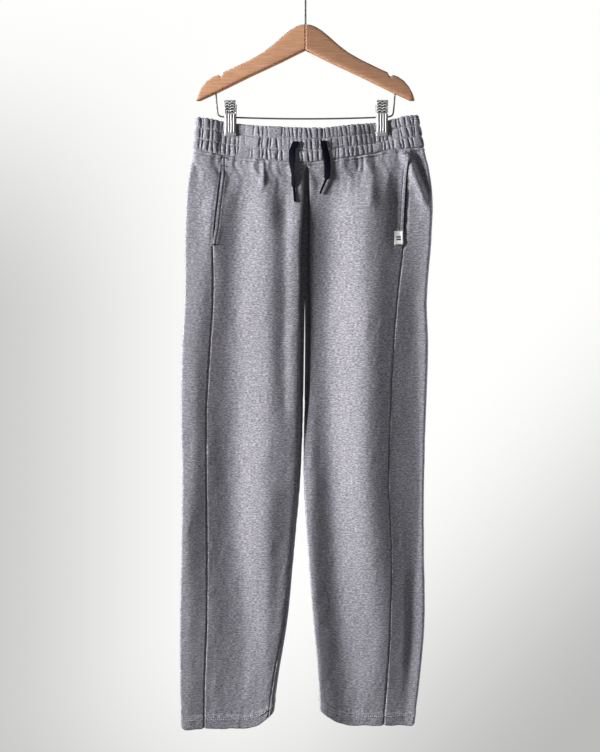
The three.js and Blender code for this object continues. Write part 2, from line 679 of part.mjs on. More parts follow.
// Solids for cutting, and back to geometry
function solid_of(geometry) {
  const bare = geometry.index ? geometry.toNonIndexed() : geometry.clone();
  bare.deleteAttribute("normal");
  bare.deleteAttribute("uv");
  const merged = mergeVertices(bare, 1e-4);
  const mesh = new wasm.Mesh({
    numProp: 3,
    vertProperties: new Float32Array(merged.attributes.position.array),
    triVerts: new Uint32Array(merged.index.array),
  });
  return new wasm.Manifold(mesh);
}

function geometry_of(solid) {
  const mesh = solid.getMesh();
  const geometry = new THREE.BufferGeometry();
  geometry.setAttribute("position", new THREE.BufferAttribute(new Float32Array(mesh.vertProperties), 3));
  geometry.setIndex(new THREE.BufferAttribute(new Uint32Array(mesh.triVerts), 1));
  geometry.computeVertexNormals();
  return geometry;
}

function bore(x, z, y, radius, deep, down) {
  const cutter = new THREE.CylinderGeometry(radius, radius, deep, 12);
  cutter.rotateX(Math.PI / 2);
  cutter.translate(x, y, z + (down ? -1 : 1) * (deep / 2 - 1));
  return solid_of(cutter);
}

// One wooden arm: its outline in the XZ plane, swept a little backwards from the joint.
function arm_geometry(sign) {
  const outline = [...ARM_OUTLINE, ...ARM_NOTCH, ...ARM_TIP, ...ARM_UNDERSIDE];
  const shape = new THREE.Shape(outline.map(([x, z]) => new THREE.Vector2(x, z)));
  const geometry = new THREE.ExtrudeGeometry(shape, { depth: ARM.thick, bevelEnabled: false, steps: 1 });
  geometry.translate(0, 0, -ARM.thick / 2);
  const slope = Math.tan(THREE.MathUtils.degToRad(ARM.sweep));
  const place = geometry.attributes.position;
  for (let i = 0; i < place.count; i++) {
    const x = place.getX(i);
    const z = place.getY(i);
    const y = -place.getZ(i);
    place.setXYZ(i, sign * (x + ARM.joint / 2), y + x * slope, z + ARM_TOP_Z);
  }
  let solid = solid_of(sign > 0 ? geometry : turned_inside_out(geometry));
  solid = solid.subtract(bore(0, ARM_TOP_Z, 0, HOOK.wire / 2 + HOLE_PLAY, HOOK.seat + 2, true));
  const bar_radius = BAR.wire / 2 + HOLE_PLAY;
  const bar_hole = bore(sign * BAR.top, ARM_TOP_Z - BAR.low, GARMENT_Y, bar_radius, 18, false);
  return geometry_of(solid.subtract(bar_hole));
}

function turned_inside_out(geometry) {
  const flipped = geometry.index ? geometry.toNonIndexed() : geometry.clone();
  const array = flipped.attributes.position.array;
  for (let i = 0; i < array.length; i += 9)
    for (let k = 0; k < 3; k++) {
      const kept = array[i + 3 + k];
      array[i + 3 + k] = array[i + 6 + k];
      array[i + 6 + k] = kept;
    }
  return flipped;
}

// The hook: a straight stem, a turn to one side and a round bend over the rail.
function hook_geometry() {
  const radius = HOOK.bend;
  const turn = THREE.MathUtils.degToRad(HOOK.turn);
  const stem_top = ARM_TOP_Z + HOOK.stem;
  const centre = stem_top + 2 * radius * Math.sin(turn);
  const points = [
    [0, 0, ARM_TOP_Z - HOOK.seat],
    [0, 0, ARM_TOP_Z],
    [0, 0, stem_top - 12],
    [0, 0, stem_top],
  ];
  for (const share of [0.35, 0.7]) {
    const angle = turn * share;
    points.push([radius * (1 - Math.cos(angle)), 0, stem_top + radius * Math.sin(angle)]);
  }
  const bends = 14;
  for (let i = 0; i <= bends; i++) {
    const angle = mix(-turn, THREE.MathUtils.degToRad(HOOK.end), i / bends);
    points.push([radius * Math.cos(angle), 0, centre + radius * Math.sin(angle)]);
  }
  return swept_geometry(points, round_section(HOOK.wire / 2, 8), 44);
}

// The trouser bar: a wire hung from both arms, a little bowed.
function bar_height(x) {
  return BAR.height - BAR.sag * (1 - (x / BAR.foot) ** 2);
}
function bar_geometry() {
  const top = ARM_TOP_Z - BAR.low + BAR.seat;
  const low = bar_height(BAR.foot);
  const corner = BAR.corner;
  const side = (sign) => [
    [sign * BAR.top, GARMENT_Y, top],
    [sign * BAR.top, GARMENT_Y, top - BAR.seat - 2],
    [sign * BAR.foot, GARMENT_Y, low + corner],
    [sign * (BAR.foot - corner * 0.3), GARMENT_Y, low + corner * 0.3],
    [sign * (BAR.foot - corner), GARMENT_Y, low],
  ];
  const middle = [-120, -90, -45, 0, 45, 90, 120].map((x) => [x, GARMENT_Y, bar_height(x)]);
  const route = [...side(-1), ...middle, ...side(1).reverse()];
  return swept_geometry(route, round_section(BAR.wire / 2, BAR.sides), 44);
}

// A clip's plate: a bent strip, flared at the top, with a lip that bites the waistband.
function plate_geometry(place, facing) {
  const x = CLIP_PLACES[place];
  const bar_z = bar_height(x);
  const grip = band_depth(x) + 0.2;
  const at_bar = SPRING.radius + SEAM_GAP;
  const foot = bar_z + CLIP.above - CLIP.tall;
  const line = [
    [grip, foot],
    [grip, foot + CLIP.lip],
    [grip + 1.6, foot + CLIP.lip + 1.5],
    [at_bar, bar_z - 6],
    [at_bar, bar_z + 4],
    [at_bar + CLIP.flare, bar_z + CLIP.above],
  ];
  const back = line.map(([y, z], i) => [y + CLIP.plate * (i < 2 ? 1.9 : 1), z]).reverse();
  const shape = new THREE.Shape([...line, ...back].map(([y, z]) => new THREE.Vector2(y, z)));
  const geometry = new THREE.ExtrudeGeometry(shape, { depth: CLIP.wide, bevelEnabled: false, steps: 1 });
  const points = geometry.attributes.position;
  for (let i = 0; i < points.count; i++) {
    const y = points.getX(i);
    const z = points.getY(i);
    const across = points.getZ(i) - CLIP.wide / 2;
    points.setXYZ(i, x + across, GARMENT_Y + facing * y, z);
  }
  return facing > 0 ? geometry : turned_inside_out(geometry);
}

// A clip's spring: a sleeve round the bar that the two plates press against.
function spring_geometry(place) {
  const inner = BAR.wire / 2 + HOLE_PLAY;
  const outer = SPRING.radius;
  const half_long = SPRING.long / 2;
  const profile = [
    [inner, -half_long],
    [outer, -half_long],
    [outer, half_long],
    [inner, half_long],
    [inner, -half_long],
  ].map(([r, y]) => new THREE.Vector2(r, y));
  const geometry = new THREE.LatheGeometry(profile, 12);
  const x = CLIP_PLACES[place];
  geometry.rotateZ(-Math.PI / 2);
  geometry.rotateY(Math.atan(bar_height(x) - bar_height(x + 1)));
  geometry.translate(x, GARMENT_Y, bar_height(x));
  return geometry;
}

const CLOTH_GREY = new THREE.MeshStandardMaterial({ color: 0x8b8a93, roughness: 0.95, metalness: 0 });
const NAVY = new THREE.MeshStandardMaterial({ color: 0x14182a, roughness: 0.85, metalness: 0 });
const WHITE = new THREE.MeshStandardMaterial({ color: 0xf0f0ee, roughness: 0.8, metalness: 0 });
const WOOD = new THREE.MeshStandardMaterial({ color: 0xc98f63, roughness: 0.45, metalness: 0 });
const STEEL = new THREE.MeshStandardMaterial({ color: 0x9a9a9e, roughness: 0.3, metalness: 1 });

function named(name, geometry, material) {
  const mesh = new THREE.Mesh(geometry, material.clone());
  mesh.name = name;
  return mesh;
}

const garment = new THREE.Group();
garment.position.y = GARMENT_Y;
garment.add(named("waistband", waistband_geometry(), CLOTH_GREY));
for (const side of [LEFT, RIGHT]) {
  garment.add(named(`front_${side.name}`, panel_geometry(side, "front"), CLOTH_GREY));
  garment.add(named(`back_${side.name}`, panel_geometry(side, "back"), CLOTH_GREY));
  garment.add(named(`pocket_${side.name}`, pocket_geometry(side), CLOTH_GREY));
  garment.add(named(`cord_${side.name}`, cord_geometry(CORD_ROUTES[side.name]), NAVY));
  garment.add(tip_mesh(`cord_tip_${side.name}`, CORD_ROUTES[side.name], TIP_ENDS[side.name]));
}
garment.add(named("label", label_geometry(), WHITE));

const hanger = new THREE.Group();
hanger.add(named("hook", hook_geometry(), STEEL));
hanger.add(named("bar", bar_geometry(), STEEL));
hanger.add(named("arm_left", arm_geometry(-1), WOOD));
hanger.add(named("arm_right", arm_geometry(1), WOOD));
for (const place of ["left", "right"]) {
  hanger.add(named(`clip_${place}_front`, plate_geometry(place, -1), STEEL));
  hanger.add(named(`clip_${place}_back`, plate_geometry(place, 1), STEEL));
  hanger.add(named(`clip_${place}_spring`, spring_geometry(place), STEEL));
}

const root = new THREE.Group();
root.add(garment, hanger);
export default root;
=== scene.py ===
"""Looks of grey marl sweatpants clipped to a wooden trouser hanger.

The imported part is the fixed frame. Tables are in millimetres, in the garment's own middle
plane, and every mesh is made in metres in the row's frame: +X right, +Y away, +Z up.
"""

import json
import logging
import math
from dataclasses import dataclass, field
from enum import Enum, StrEnum
from typing import Iterable, Sequence

import bpy
import numpy as np
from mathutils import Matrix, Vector

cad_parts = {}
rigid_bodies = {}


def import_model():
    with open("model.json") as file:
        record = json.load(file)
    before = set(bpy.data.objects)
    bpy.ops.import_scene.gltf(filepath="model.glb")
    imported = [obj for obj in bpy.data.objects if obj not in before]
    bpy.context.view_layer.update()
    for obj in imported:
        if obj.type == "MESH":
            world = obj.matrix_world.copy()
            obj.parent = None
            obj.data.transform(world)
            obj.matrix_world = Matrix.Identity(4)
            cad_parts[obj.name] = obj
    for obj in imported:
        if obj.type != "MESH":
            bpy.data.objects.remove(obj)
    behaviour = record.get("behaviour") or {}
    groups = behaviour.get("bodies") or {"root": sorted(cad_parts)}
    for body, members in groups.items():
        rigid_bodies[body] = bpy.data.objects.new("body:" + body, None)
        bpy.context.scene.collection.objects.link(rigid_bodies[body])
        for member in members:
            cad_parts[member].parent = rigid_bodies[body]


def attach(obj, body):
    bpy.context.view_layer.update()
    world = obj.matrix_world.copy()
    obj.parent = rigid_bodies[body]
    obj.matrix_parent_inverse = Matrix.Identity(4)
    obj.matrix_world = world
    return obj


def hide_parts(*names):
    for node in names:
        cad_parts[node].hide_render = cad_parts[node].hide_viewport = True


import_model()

log = logging.getLogger("sweatpants")
Array = np.ndarray
# Points and the cloth's normals at them
Line = tuple[Array, Array]


class Side(StrEnum):
    """The two halves of the garment and of its hanger, as seen from the front."""

    LEFT = "left"
    RIGHT = "right"


class Face(StrEnum):
    """The two faces of the garment and of a clip."""

    FRONT = "front"
    BACK = "back"


class Slot(Enum):
    """The record's material slots."""

    FLEECE = "fleece"
    LABEL = "label"
    DRAWCORD = "drawcord"
    CORD_TIP = "cord_tip"
    WOOD = "wood"
    STEEL = "steel"


MM = 0.001
FULL_TURN = 2 * math.pi
GARMENT_Y = 10.0
WAIST_SEAM_Z = -318.5
LEG_DROP = 906.0
CROTCH_DROP = 218.0
CLOTH = 2.0

BAND_LINE = {
    "x": [-182, -152, -132, -120.5, -109, -72, 0, 34, 76, 111, 122.4, 134, 156, 191],
    "top": [
        -243, -246.4, -250.3, -252.1, -254, -258.5, -262.1, -261.6, -256.1, -252.5, -250.4, -248.1, -243,
        -239,
    ],
    "seam": [
        -295.5, -301.5, -305.4, -307.2, -308.2, -313.3, -318.5, -315, -309, -302.8, -299.8, -297.4, -296.2,
        -293.4,
    ],
    "depth": [7.5, 7, 3.3, 3.3, 3.3, 8.5, 12, 11, 8.5, 3.3, 3.3, 3.3, 7, 7.5],
    "foot_depth": [8.5, 9, 7.2, 6.8, 7.2, 10, 12.5, 12, 10.5, 7.2, 6.8, 7.2, 9, 8.5],
}
BAND_ENDS = {"foot": (-180.4, 190.6), "top": (-175.9, 180.7)}

OUTLINE_DROPS = [0, 26, 64, 122, 218, 292, 388, 502, 616, 732, 832, 906]
OUTLINES = {
    Side.LEFT: {
        "outer": [
            -180.4, -184.6, -189.3, -192.4, -192.4, -196.6, -198.7, -196.7, -198.2, -200.6, -200.4, -198.7,
        ],
        "seam": [-132.8, -136, -140.5, -146.6, -146.5, -151, -156.9, -157.2, -156.4, -156.9, -160.6, -161.7],
        "inner": [3.2, 2.9, 2.4, 1.6, -0.8, -2, -3.6, -8, -17.7, -28.9, -41.8, -50.6],
    },
    Side.RIGHT: {
        "outer": [190.6, 196.8, 203.3, 201.5, 194.5, 196.3, 193.5, 190, 189.7, 190.8, 182.9, 174.3],
        "seam": [167, 164.3, 161, 156.6, 145.8, 139.7, 134.9, 131.2, 135.9, 134.3, 129.4, 124.5],
        "inner": [3.2, 2.9, 2.4, 1.6, -0.8, -0.9, -1.8, -2.8, 3.6, 12.3, 19.6, 23.4],
    },
}

FRONT_DROPS = [0, 60, 92, 219, 347, 474, 601, 728, 906]
FRONTS = {
    Side.LEFT: {
        "roll_x": [-165, -163, -168, -166, -175, -175, -184, -182, -187],
        "roll": [12, 18, 21, 24, 24, 22, 22, 18.5, 14],
        "step_x": [-126, -136, -140, -147, -154, -157, -155, -155, -155],
        "step": [12, 20, 22, 21, 19.5, 18, 15, 15, 11],
        "valley_x": [-100, -99, -103, -112, -113, -114, -112, -101, -97],
        "valley": [12, 16, 17, 16, 14, 11.2, 9.0, 8.8, 9.6],
        "crown_x": [-62, -62, -62, -61, -56, -62, -64, -63, -61],
        "crown": [13, 24, 26.5, 27, 27, 25.4, 22.6, 17.2, 12.4],
        "lip_x": [-16, -14, -14, -15, -17, -20, -33, -46, -54],
        "lip": [13, 23, 27, 28.5, 27.4, 24.8, 20, 17.2, 12.8],
    },
    Side.RIGHT: {
        "roll_x": [176, 190, 190, 176, 178, 181, 178, 170, 161],
        "roll": [12, 13.5, 17.5, 14.5, 12.5, 11, 10, 9.5, 10.5],
        "step_x": [158, 150, 158, 146, 143, 144, 150, 155, 146],
        "step": [12, 15.5, 16.5, 20, 19, 17, 15.2, 14.8, 10.6],
        "valley_x": [32, 44, 42, 40, 40, 43, 48, 56, 76],
        "valley": [13, 15.5, 15.5, 15.4, 15.6, 14.0, 12.7, 11.4, 9.6],
        "crown_x": [98, 95, 98, 97, 96, 95, 104, 115, 113],
        "crown": [12, 26.5, 28.5, 31, 30.8, 29.4, 26.2, 21.0, 12.2],
        "lip_x": [12, 12, 12, 11, 11, 10, 12, 20, 31],
        "lip": [13, 17, 17.5, 17.5, 18, 20.5, 22, 20.5, 17.6],
    },
}
ORDER = {
    Side.LEFT: ["roll", "step", "valley", "crown", "lip"],
    Side.RIGHT: ["lip", "valley", "crown", "step", "roll"],
}

DEPTHS = {
    "drop": [0, 26, 64, 122, 180, 218, 388, 616, 732, 832, 906],
    "back": [12, 14, 17, 20, 21, 22, 22, 20, 18, 16, 14],
    "front_edge": [1, 2, 3.5, 5, 7, 10, 9, 6, 4, 2, 1],
    "back_edge": [13, 15, 17, 18, 15, 10, 9, 6, 4, 2, 1],
    "inseam": [0, 0, 0, 0, 0, 0, 0, 1, 5, 8, 9],
}
# How square the section stands up from its folds: outer fold, inner edge
BAND_ROUND = 90.0
BACK_ROUND = (2.7, 4.2)
FRONT_ROUND = {Side.LEFT: (110.0, 26.0), Side.RIGHT: (50.0, 260.0)}
EDGE_RISE = {Side.LEFT: 0.0, Side.RIGHT: 3.0}
SEAM_CORNER = {Side.LEFT: 0.0, Side.RIGHT: 10.5}
HEM_LIFT = {Side.LEFT: 3.4, Side.RIGHT: 8.8}
LAP = 0.7

# The deep fold down the centre front: how far each leg's face stands back from the seam
PLEAT_DROPS = [0, 35, 74, 122, 218, 292, 347, 420]
PLEAT = {
    Side.LEFT: [4, 6, 6.4, 9.6, 7.2, 6, 5.5, 3],
    Side.RIGHT: [3, 3.4, 4, 4.8, 7.2, 7.3, 7.5, 4],
}

# Drops of the bar tacks, and half of each pocket's gape
TACKS = {Side.LEFT: (4.0, 17.5, 133.0), Side.RIGHT: (8.0, 134.0)}
SLIT = {Side.LEFT: 3.2, Side.RIGHT: 2.5}


@dataclass(frozen=True)
class Hem:
    """The turned-up hem, which curls up towards the inseam."""

    deep: float = 20.0
    rise: float = 26.0
    curl_from: float = 0.62
    power: float = 2.4
    reach: float = 200.0
    line: float = LEG_DROP - 18.5
    row_gap: float = 3.4


@dataclass(frozen=True)
class PocketEdge:
    """The stitched edge of a pocket opening, in drops and in mm from the side seam."""

    start: float = 8.0
    end: float = 134.0
    hem: float = 5.0


HEM = Hem()
POCKET = PocketEdge()
WAIST_STITCH_DROP = 5.2

# Ridges and troughs: from drop, to drop, top x, foot x, width, height
FRONT_FOLDS = {
    Side.LEFT: [
        (0, 120, -34, -36, 16, -3.6), (-14, 50, -68, -66, 4, 2.2), (40, 430, -31, -33, 8, -2.2),
        (40, 430, -40, -43, 9, -1.6),
    ],
    Side.RIGHT: [
        (-4, 100, 154, 199, 7, 5), (-10, 84, 172, 205, 7, -5), (6, 150, 150, 140, 10, -3),
        (2, 92, 100, 106, 8, 2.2), (-6, 26, 84, 84, 2.2, -1.6), (-6, 30, 93, 92, 2.2, -1.6),
    ],
}
BACK_FOLDS = {
    Side.LEFT: [
        (4, 300, -150, -140, 15, -5), (0, 860, -96, -112, 28, 5), (10, 520, -52, -60, 15, -7),
        (500, 900, -150, -160, 15, -4),
    ],
    Side.RIGHT: [
        (6, 420, 142, 130, 15, -6), (0, 870, 84, 98, 28, 5), (12, 380, 40, 46, 14, -6),
        (480, 900, 150, 134, 15, -4),
    ],
}

# Drawcord routes: x, z, how far the cord's middle lies in front of the cloth, twist in degrees
CORD_ROUTES = {
    Side.LEFT: [
        (-13.8, -286.5, 0.6, 0), (-14.0, -286.7, 2.0, 0), (-15.4, -288.6, 3.2, 4),
        (-18.4, -293.5, 2.9, 8), (-21.3, -300.5, 2.2, 10), (-22.0, -309.0, 2.0, 16),
        (-21.9, -318.5, 3.1, 28), (-21.5, -328.5, 4.6, 58), (-20.9, -338.5, 5.4, 78),
        (-19.7, -351.5, 3.8, 52), (-18.5, -361.8, 3.2, 30),
    ],
    Side.RIGHT: [
        (28.1, -285.0, 0.6, 0), (28.2, -285.2, 2.0, 0), (28.8, -287.4, 3.1, -3),
        (29.8, -293.5, 2.9, -6), (31.6, -301.5, 2.3, -8), (33.6, -310.0, 2.2, -8),
        (34.7, -318.5, 2.6, -6), (35.0, -327.5, 2.8, 0), (34.6, -336.5, 3.2, 8),
        (33.6, -343.5, 3.6, 14), (31.4, -349.0, 3.4, 20),
    ],
}
TIP_ENDS = {Side.LEFT: (-16.9, -384.5, 2.5), Side.RIGHT: (23.6, -367.5, 2.7)}

HOOK_RADIUS = 20.0
HOOK_WIRE = 1.5
HOOK_STEM = 46.0
HOOK_TURN = math.radians(60)
# The wood's top, set so that the underside of the hook's bend lies at the row's zero
ARM_TOP_Z = HOOK_WIRE - (HOOK_STEM + HOOK_RADIUS * (1 + 2 * math.sin(HOOK_TURN)))
ARM_TOP = [
    (0, 0), (7, -0.3), (15, -2.8), (25, -8.5), (37, -18), (52, -31), (68, -43), (88, -54), (112, -65),
    (131.5, -73.6), (133.4, -78), (136, -80.3), (138.6, -78.2), (141, -77.6), (148, -80), (158, -86.5),
    (166, -96), (172, -107), (175, -116),
]
ARM_FOOT = [(0, -40.5), (38, -58.5), (88, -80.5), (137, -103.5), (168, -117), (175, -117.6)]
CLIP_X = {Side.LEFT: -120.5, Side.RIGHT: 122.4}
BAR_Z = -242.6
BAR_BOW = 3.5
BAR_REACH = 141.0
WANDER_WAVES = ((1.0, 0.5), (1.73, 0.3), (2.91, 0.2), (0.57, 0.35))


def smooth(low: float, high: float, at: Array | float) -> Array | float:
    """A smooth step from 0 at low to 1 at high."""
    t = np.clip((at - low) / (high - low), 0, 1)
    return t * t * (3 - 2 * t)


def mix(a: Array | float, b: Array | float, t: Array | float) -> Array | float:
    """The value between a and b at share t."""
    return a + (b - a) * t


def bell(at: Array | float, middle: float, width: float) -> Array | float:
    """A bell of height 1 round a middle."""
    return np.exp(-(((at - middle) / width) ** 2))


def crown(u: Array, power: float) -> Array:
    """A rounded rise: 0 at both edges and 1 in between."""
    return np.sqrt(np.maximum(0, 1 - np.abs(2 * u - 1) ** power))


def wander(at: Array | float, seed: float) -> Array | float:
    """A smooth uneven wave between about -1 and 1 with a wavelength of about 1.

    Args:
        at: places along the wave.
        seed: which wave it is.

    Returns:
        its height at each place.
    """
    total = 0.0
    for k, (rate, size) in enumerate(WANDER_WAVES):
        total = total + size * np.sin(FULL_TURN * rate * at + seed * (k + 1.7) * 2.3)
    return total


class Spline:
    """A smooth line through a short table."""

    def __init__(self, x: Sequence[float], y: Sequence[float]) -> None:
        """Takes the table and works out the line's slope at each of its places.

        Args:
            x: places, rising.
            y: the value at each place.
        """
        self.x = np.asarray(x, float)
        self.y = np.asarray(y, float)
        low = np.maximum(np.arange(len(self.x)) - 1, 0)
        high = np.minimum(np.arange(len(self.x)) + 1, len(self.x) - 1)
        self.slope = (self.y[high] - self.y[low]) / (self.x[high] - self.x[low])

    def __call__(self, at: Array | float) -> Array:
        """Reads the line, which stays level past its ends.

        Args:
            at: places to read it at.

        Returns:
            the value at each place.
        """
        at = np.clip(at, self.x[0], self.x[-1])
        i = np.clip(np.searchsorted(self.x, at, side="right") - 1, 0, len(self.x) - 2)
        h = self.x[i + 1] - self.x[i]
        t = (at - self.x[i]) / h
        a = (1 + 2 * t) * (1 - t) ** 2
        b = t * (1 - t) ** 2
        c = t * t * (3 - 2 * t)
        d = t * t * (t - 1)
        return a * self.y[i] + b * h * self.slope[i] + c * self.y[i + 1] + d * h * self.slope[i + 1]


class Band:
    """The waistband's line: its edges and depth across the width."""

    top = Spline(BAND_LINE["x"], BAND_LINE["top"])
    seam = Spline(BAND_LINE["x"], BAND_LINE["seam"])
    depth = Spline(BAND_LINE["x"], BAND_LINE["depth"])
    foot_depth = Spline(BAND_LINE["x"], BAND_LINE["foot_depth"])

    @classmethod
    def points(cls, turn: Array, height: Array | float) -> Array:
        """Points of the band's smooth face, in mm in the garment's own plane.

        Args:
            turn: turns round the band, from -pi to pi and below 0 in front.
            height: the height, from 0 at the seam to 1.

        Returns:
            the points.
        """
        share = (1 - np.cos(turn)) / 2
        left = mix(BAND_ENDS["foot"][0], BAND_ENDS["top"][0], height)
        right = mix(BAND_ENDS["foot"][1], BAND_ENDS["top"][1], height)
        x = mix(left, right, share)
        half = mix(cls.foot_depth(x), cls.depth(x), smooth(0, 0.5, height))
        y = np.sign(turn) * half * crown(share, BAND_ROUND)
        z = mix(cls.seam(x), cls.top(x), height)
        return np.stack(np.broadcast_arrays(x, y, z), -1)


class Half:
    """The shape of one half of the legs below the waist seam.

    A turn runs from -pi at the inner edge of the front face, through 0 at the outer fold, to pi
    at the inner edge of the back face, and on round the inseam.
    """

    samples = 900
    fold_turn = -0.07
    fold_wide = 3.5
    fold_density = 5

    def __init__(self, side: Side) -> None:
        """Reads the half's tables.

        Args:
            side: which half it is.
        """
        self.side = side
        self.inward = 1 if side is Side.LEFT else -1
        table = OUTLINES[side]
        self.outer = Spline(OUTLINE_DROPS, table["outer"])
        self.seam = Spline(OUTLINE_DROPS, table["seam"])
        self.inner = Spline(OUTLINE_DROPS, table["inner"])
        self.stations = {key: Spline(FRONT_DROPS, value) for key, value in FRONTS[side].items()}
        self.pleat = Spline(PLEAT_DROPS, PLEAT[side])
        self.depths = {key: Spline(DEPTHS["drop"], DEPTHS[key]) for key in DEPTHS if key != "drop"}

    def front_line(self, drop: float) -> Spline:
        """How far the front face stands out at a drop.

        Args:
            drop: drop below the waist seam.

        Returns:
            the stand-off as a line across the leg.
        """
        order = ORDER[self.side]
        xs = [float(self.stations[f"{key}_x"](drop)) for key in order]
        ys = [float(self.stations[key](drop)) for key in order]
        ends = sorted((float(self.outer(drop)), float(self.inner(drop))))
        rise = EDGE_RISE[self.side] * float(smooth(10, 90, drop))
        return Spline([ends[0], *xs, ends[1]], [ys[0], *ys, ys[-1] + rise])

    def folds(self, table: dict, x: Array, drop: float) -> Array:
        """How far the folds of a table push a face out.

        Args:
            table: the folds of each side.
            x: places across the leg.
            drop: drop below the waist seam.

        Returns:
            the push at each place.
        """
        total = np.zeros_like(x)
        for start, end, top, foot, width, height in table[self.side]:
            if not start < drop < end:
                continue
            along = (drop - start) / (end - start)
            fade = min(0.3, 60 / (end - start))
            window = smooth(0, fade, along) * (1 - smooth(1 - fade, 1, along))
            total += height * window * bell(x, mix(top, foot, along), width)
        return total

    def edge(self, drop: float) -> float:
        """The inner edge, which laps a little over the other half above the crotch."""
        lapped = float(1 - smooth(CROTCH_DROP - 20, CROTCH_DROP, drop))
        return float(self.inner(drop)) + self.inward * LAP * lapped

    def face(self, turn: Array, drop: float) -> Array:
        """Points of the outer face, in mm in the garment's own plane.

        Args:
            turn: turns round the leg.
            drop: drop below the waist seam.

        Returns:
            a point for each turn.
        """
        wrapped = np.where(turn > math.pi, turn - FULL_TURN, turn)
        front = wrapped < 0
        u = (1 - np.cos(wrapped)) / 2
        inner = self.edge(drop)
        x = mix(float(self.outer(drop)), inner, u)
        facing = np.where(front, -1.0, 1.0)
        rise = self._rise(front, u, np.abs(x - inner), drop)
        held = smooth(0, 0.8, rise)
        back_folds = np.where(front, 0.0, self.folds(BACK_FOLDS, x, drop)) * held
        full = np.where(front, self.front_line(drop)(x), float(self.depths["back"](drop)))
        at_leg = self._edge_y(front, drop) * u * u + facing * (full * rise + back_folds)
        reach = mix(72, 24, smooth(0.86, 1, u))
        y = mix(self._band_y(x, facing, drop), at_leg, smooth(0, reach, drop))
        y = y - np.where(front, self.folds(FRONT_FOLDS, x, drop), 0.0) * held * smooth(0, 8, drop)
        lift = (Band.seam(x) - WAIST_SEAM_Z) * (1 - smooth(0, 150, drop))
        return np.stack([x, y, WAIST_SEAM_Z - drop + lift + self._hem_lift(x, u, drop)], -1)

    def _rise(self, front: Array, u: Array, from_edge: Array, drop: float) -> Array:
        """How full the section is, from 0 at its folds to 1, with the pleat's wall in front.

        Args:
            front: whether each place is on the front face.
            u: shares of the way from the outer fold to the inner edge.
            from_edge: distances from the inner edge.
            drop: drop below the waist seam.

        Returns:
            the fullness at each place.
        """
        near_fold, near_edge = FRONT_ROUND[self.side]
        front_rise = np.where(u < 0.5, crown(u, near_fold), crown(u, near_edge))
        back_rise = np.where(u < 0.5, crown(u, BACK_ROUND[0]), crown(u, BACK_ROUND[1]))
        apart = float(self.pleat(drop))
        wall = smooth(apart - 1.8, apart + 1.6, from_edge)
        pleated = smooth(1, 14, drop) * (1 - smooth(370, 440, drop))
        return np.where(front, front_rise * mix(1, wall, pleated), back_rise)

    def _edge_y(self, front: Array, drop: float) -> Array:
        """How far back the inner edge lies on each face."""
        on_front, on_back = (float(self.depths[key](drop)) for key in ("front_edge", "back_edge"))
        return np.where(front, on_front, on_front if drop > CROTCH_DROP else on_back)

    @staticmethod
    def _band_y(x: Array, facing: Array, drop: float) -> Array:
        """How far the cloth stands out where the waistband still holds it."""
        left, right = (float(HALVES[side].outer(drop)) for side in Side)
        return facing * Band.foot_depth(x) * crown(np.clip((x - left) / (right - left), 0, 1), BAND_ROUND)

    def _hem_lift(self, x: Array, u: Array, drop: float) -> Array:
        """How far the cloth near the hem is lifted by its curl, its waves and its corners.

        Args:
            x: places across the leg.
            u: shares of the way from the outer fold to the inner edge.
            drop: drop below the waist seam.

        Returns:
            the lift at each place.
        """
        curl = HEM.rise * np.maximum(0, (u - HEM.curl_from) / (1 - HEM.curl_from)) ** HEM.power
        hem = (curl + HEM_LIFT[self.side]) * smooth(LEG_DROP - HEM.reach, LEG_DROP, drop)
        outer, seam = float(self.outer(drop)), float(self.seam(drop))
        corner = 4.5 * bell(x, outer, 4) + 1.4 * bell(x, seam, 3.5) + 0.9 * wander(x / 52, 2.2)
        return hem + corner * smooth(LEG_DROP - 70, LEG_DROP, drop)

    def turn_at(self, x: float, drop: float) -> float:
        """The turn on the front face at a place across."""
        outer, inner = float(self.outer(drop)), self.edge(drop)
        return -math.acos(min(1, max(-1, 1 - 2 * (x - outer) / (inner - outer))))

    def slit(self, drop: float) -> float:
        """Half the pocket's gape at a drop, on the front panel's side of the seam."""
        shut = smooth(POCKET.start, POCKET.start + 26, drop)
        return SLIT[self.side] * shut * (1 - smooth(POCKET.end - 30, POCKET.end, drop))

    def ends(self, kind: Face, drop: float) -> tuple[float, float]:
        """The turns where a panel starts and ends.

        Args:
            kind: the panel's face.
            drop: drop below the waist seam.

        Returns:
            the turn at the side seam, and the one at the inner edge.
        """
        seam = float(self.seam(drop)) - SEAM_CORNER[self.side] * float(1 - smooth(0, 13, drop)) ** 2
        round_by = float(self.depths["inseam"](drop)) if self.side is Side.LEFT else 0.0
        inner = -math.pi
        if drop >= CROTCH_DROP and round_by > 0:
            inner = self.turn_at(self.edge(drop) - self.inward * round_by, drop)
        if kind is Face.FRONT:
            return self.turn_at(seam + self.inward * self.slit(drop), drop), inner
        return self.turn_at(seam, drop), inner + FULL_TURN

    def columns(self, kind: Face, drop: float, count: int) -> tuple[Array, Array]:
        """Turns along a row of a panel, closer together at its edges and at the outer fold.

        Args:
            kind: the panel's face.
            drop: the row's drop below the waist seam.
            count: how many columns the panel has.

        Returns:
            the turns, and their lengths along the face from the side seam.
        """
        start, end = self.ends(kind, drop)
        turns = np.linspace(start, end, self.samples)
        along = lengths_along(self.face(turns, drop))
        want = edge_spaced(along[-1], count)
        if kind is Face.BACK:
            fold = float(np.interp(self.fold_turn, turns, along))
            density = np.cumsum(1 + self.fold_density * bell(along, fold, self.fold_wide))
            middle = slice(len(EDGE_STEPS) - 1, 1 - len(EDGE_STEPS))
            ends = np.interp(want[middle][[0, -1]], along, density)
            want[middle] = np.interp(np.linspace(*ends, len(want[middle])), density, along)
        return np.interp(want, along, turns), want


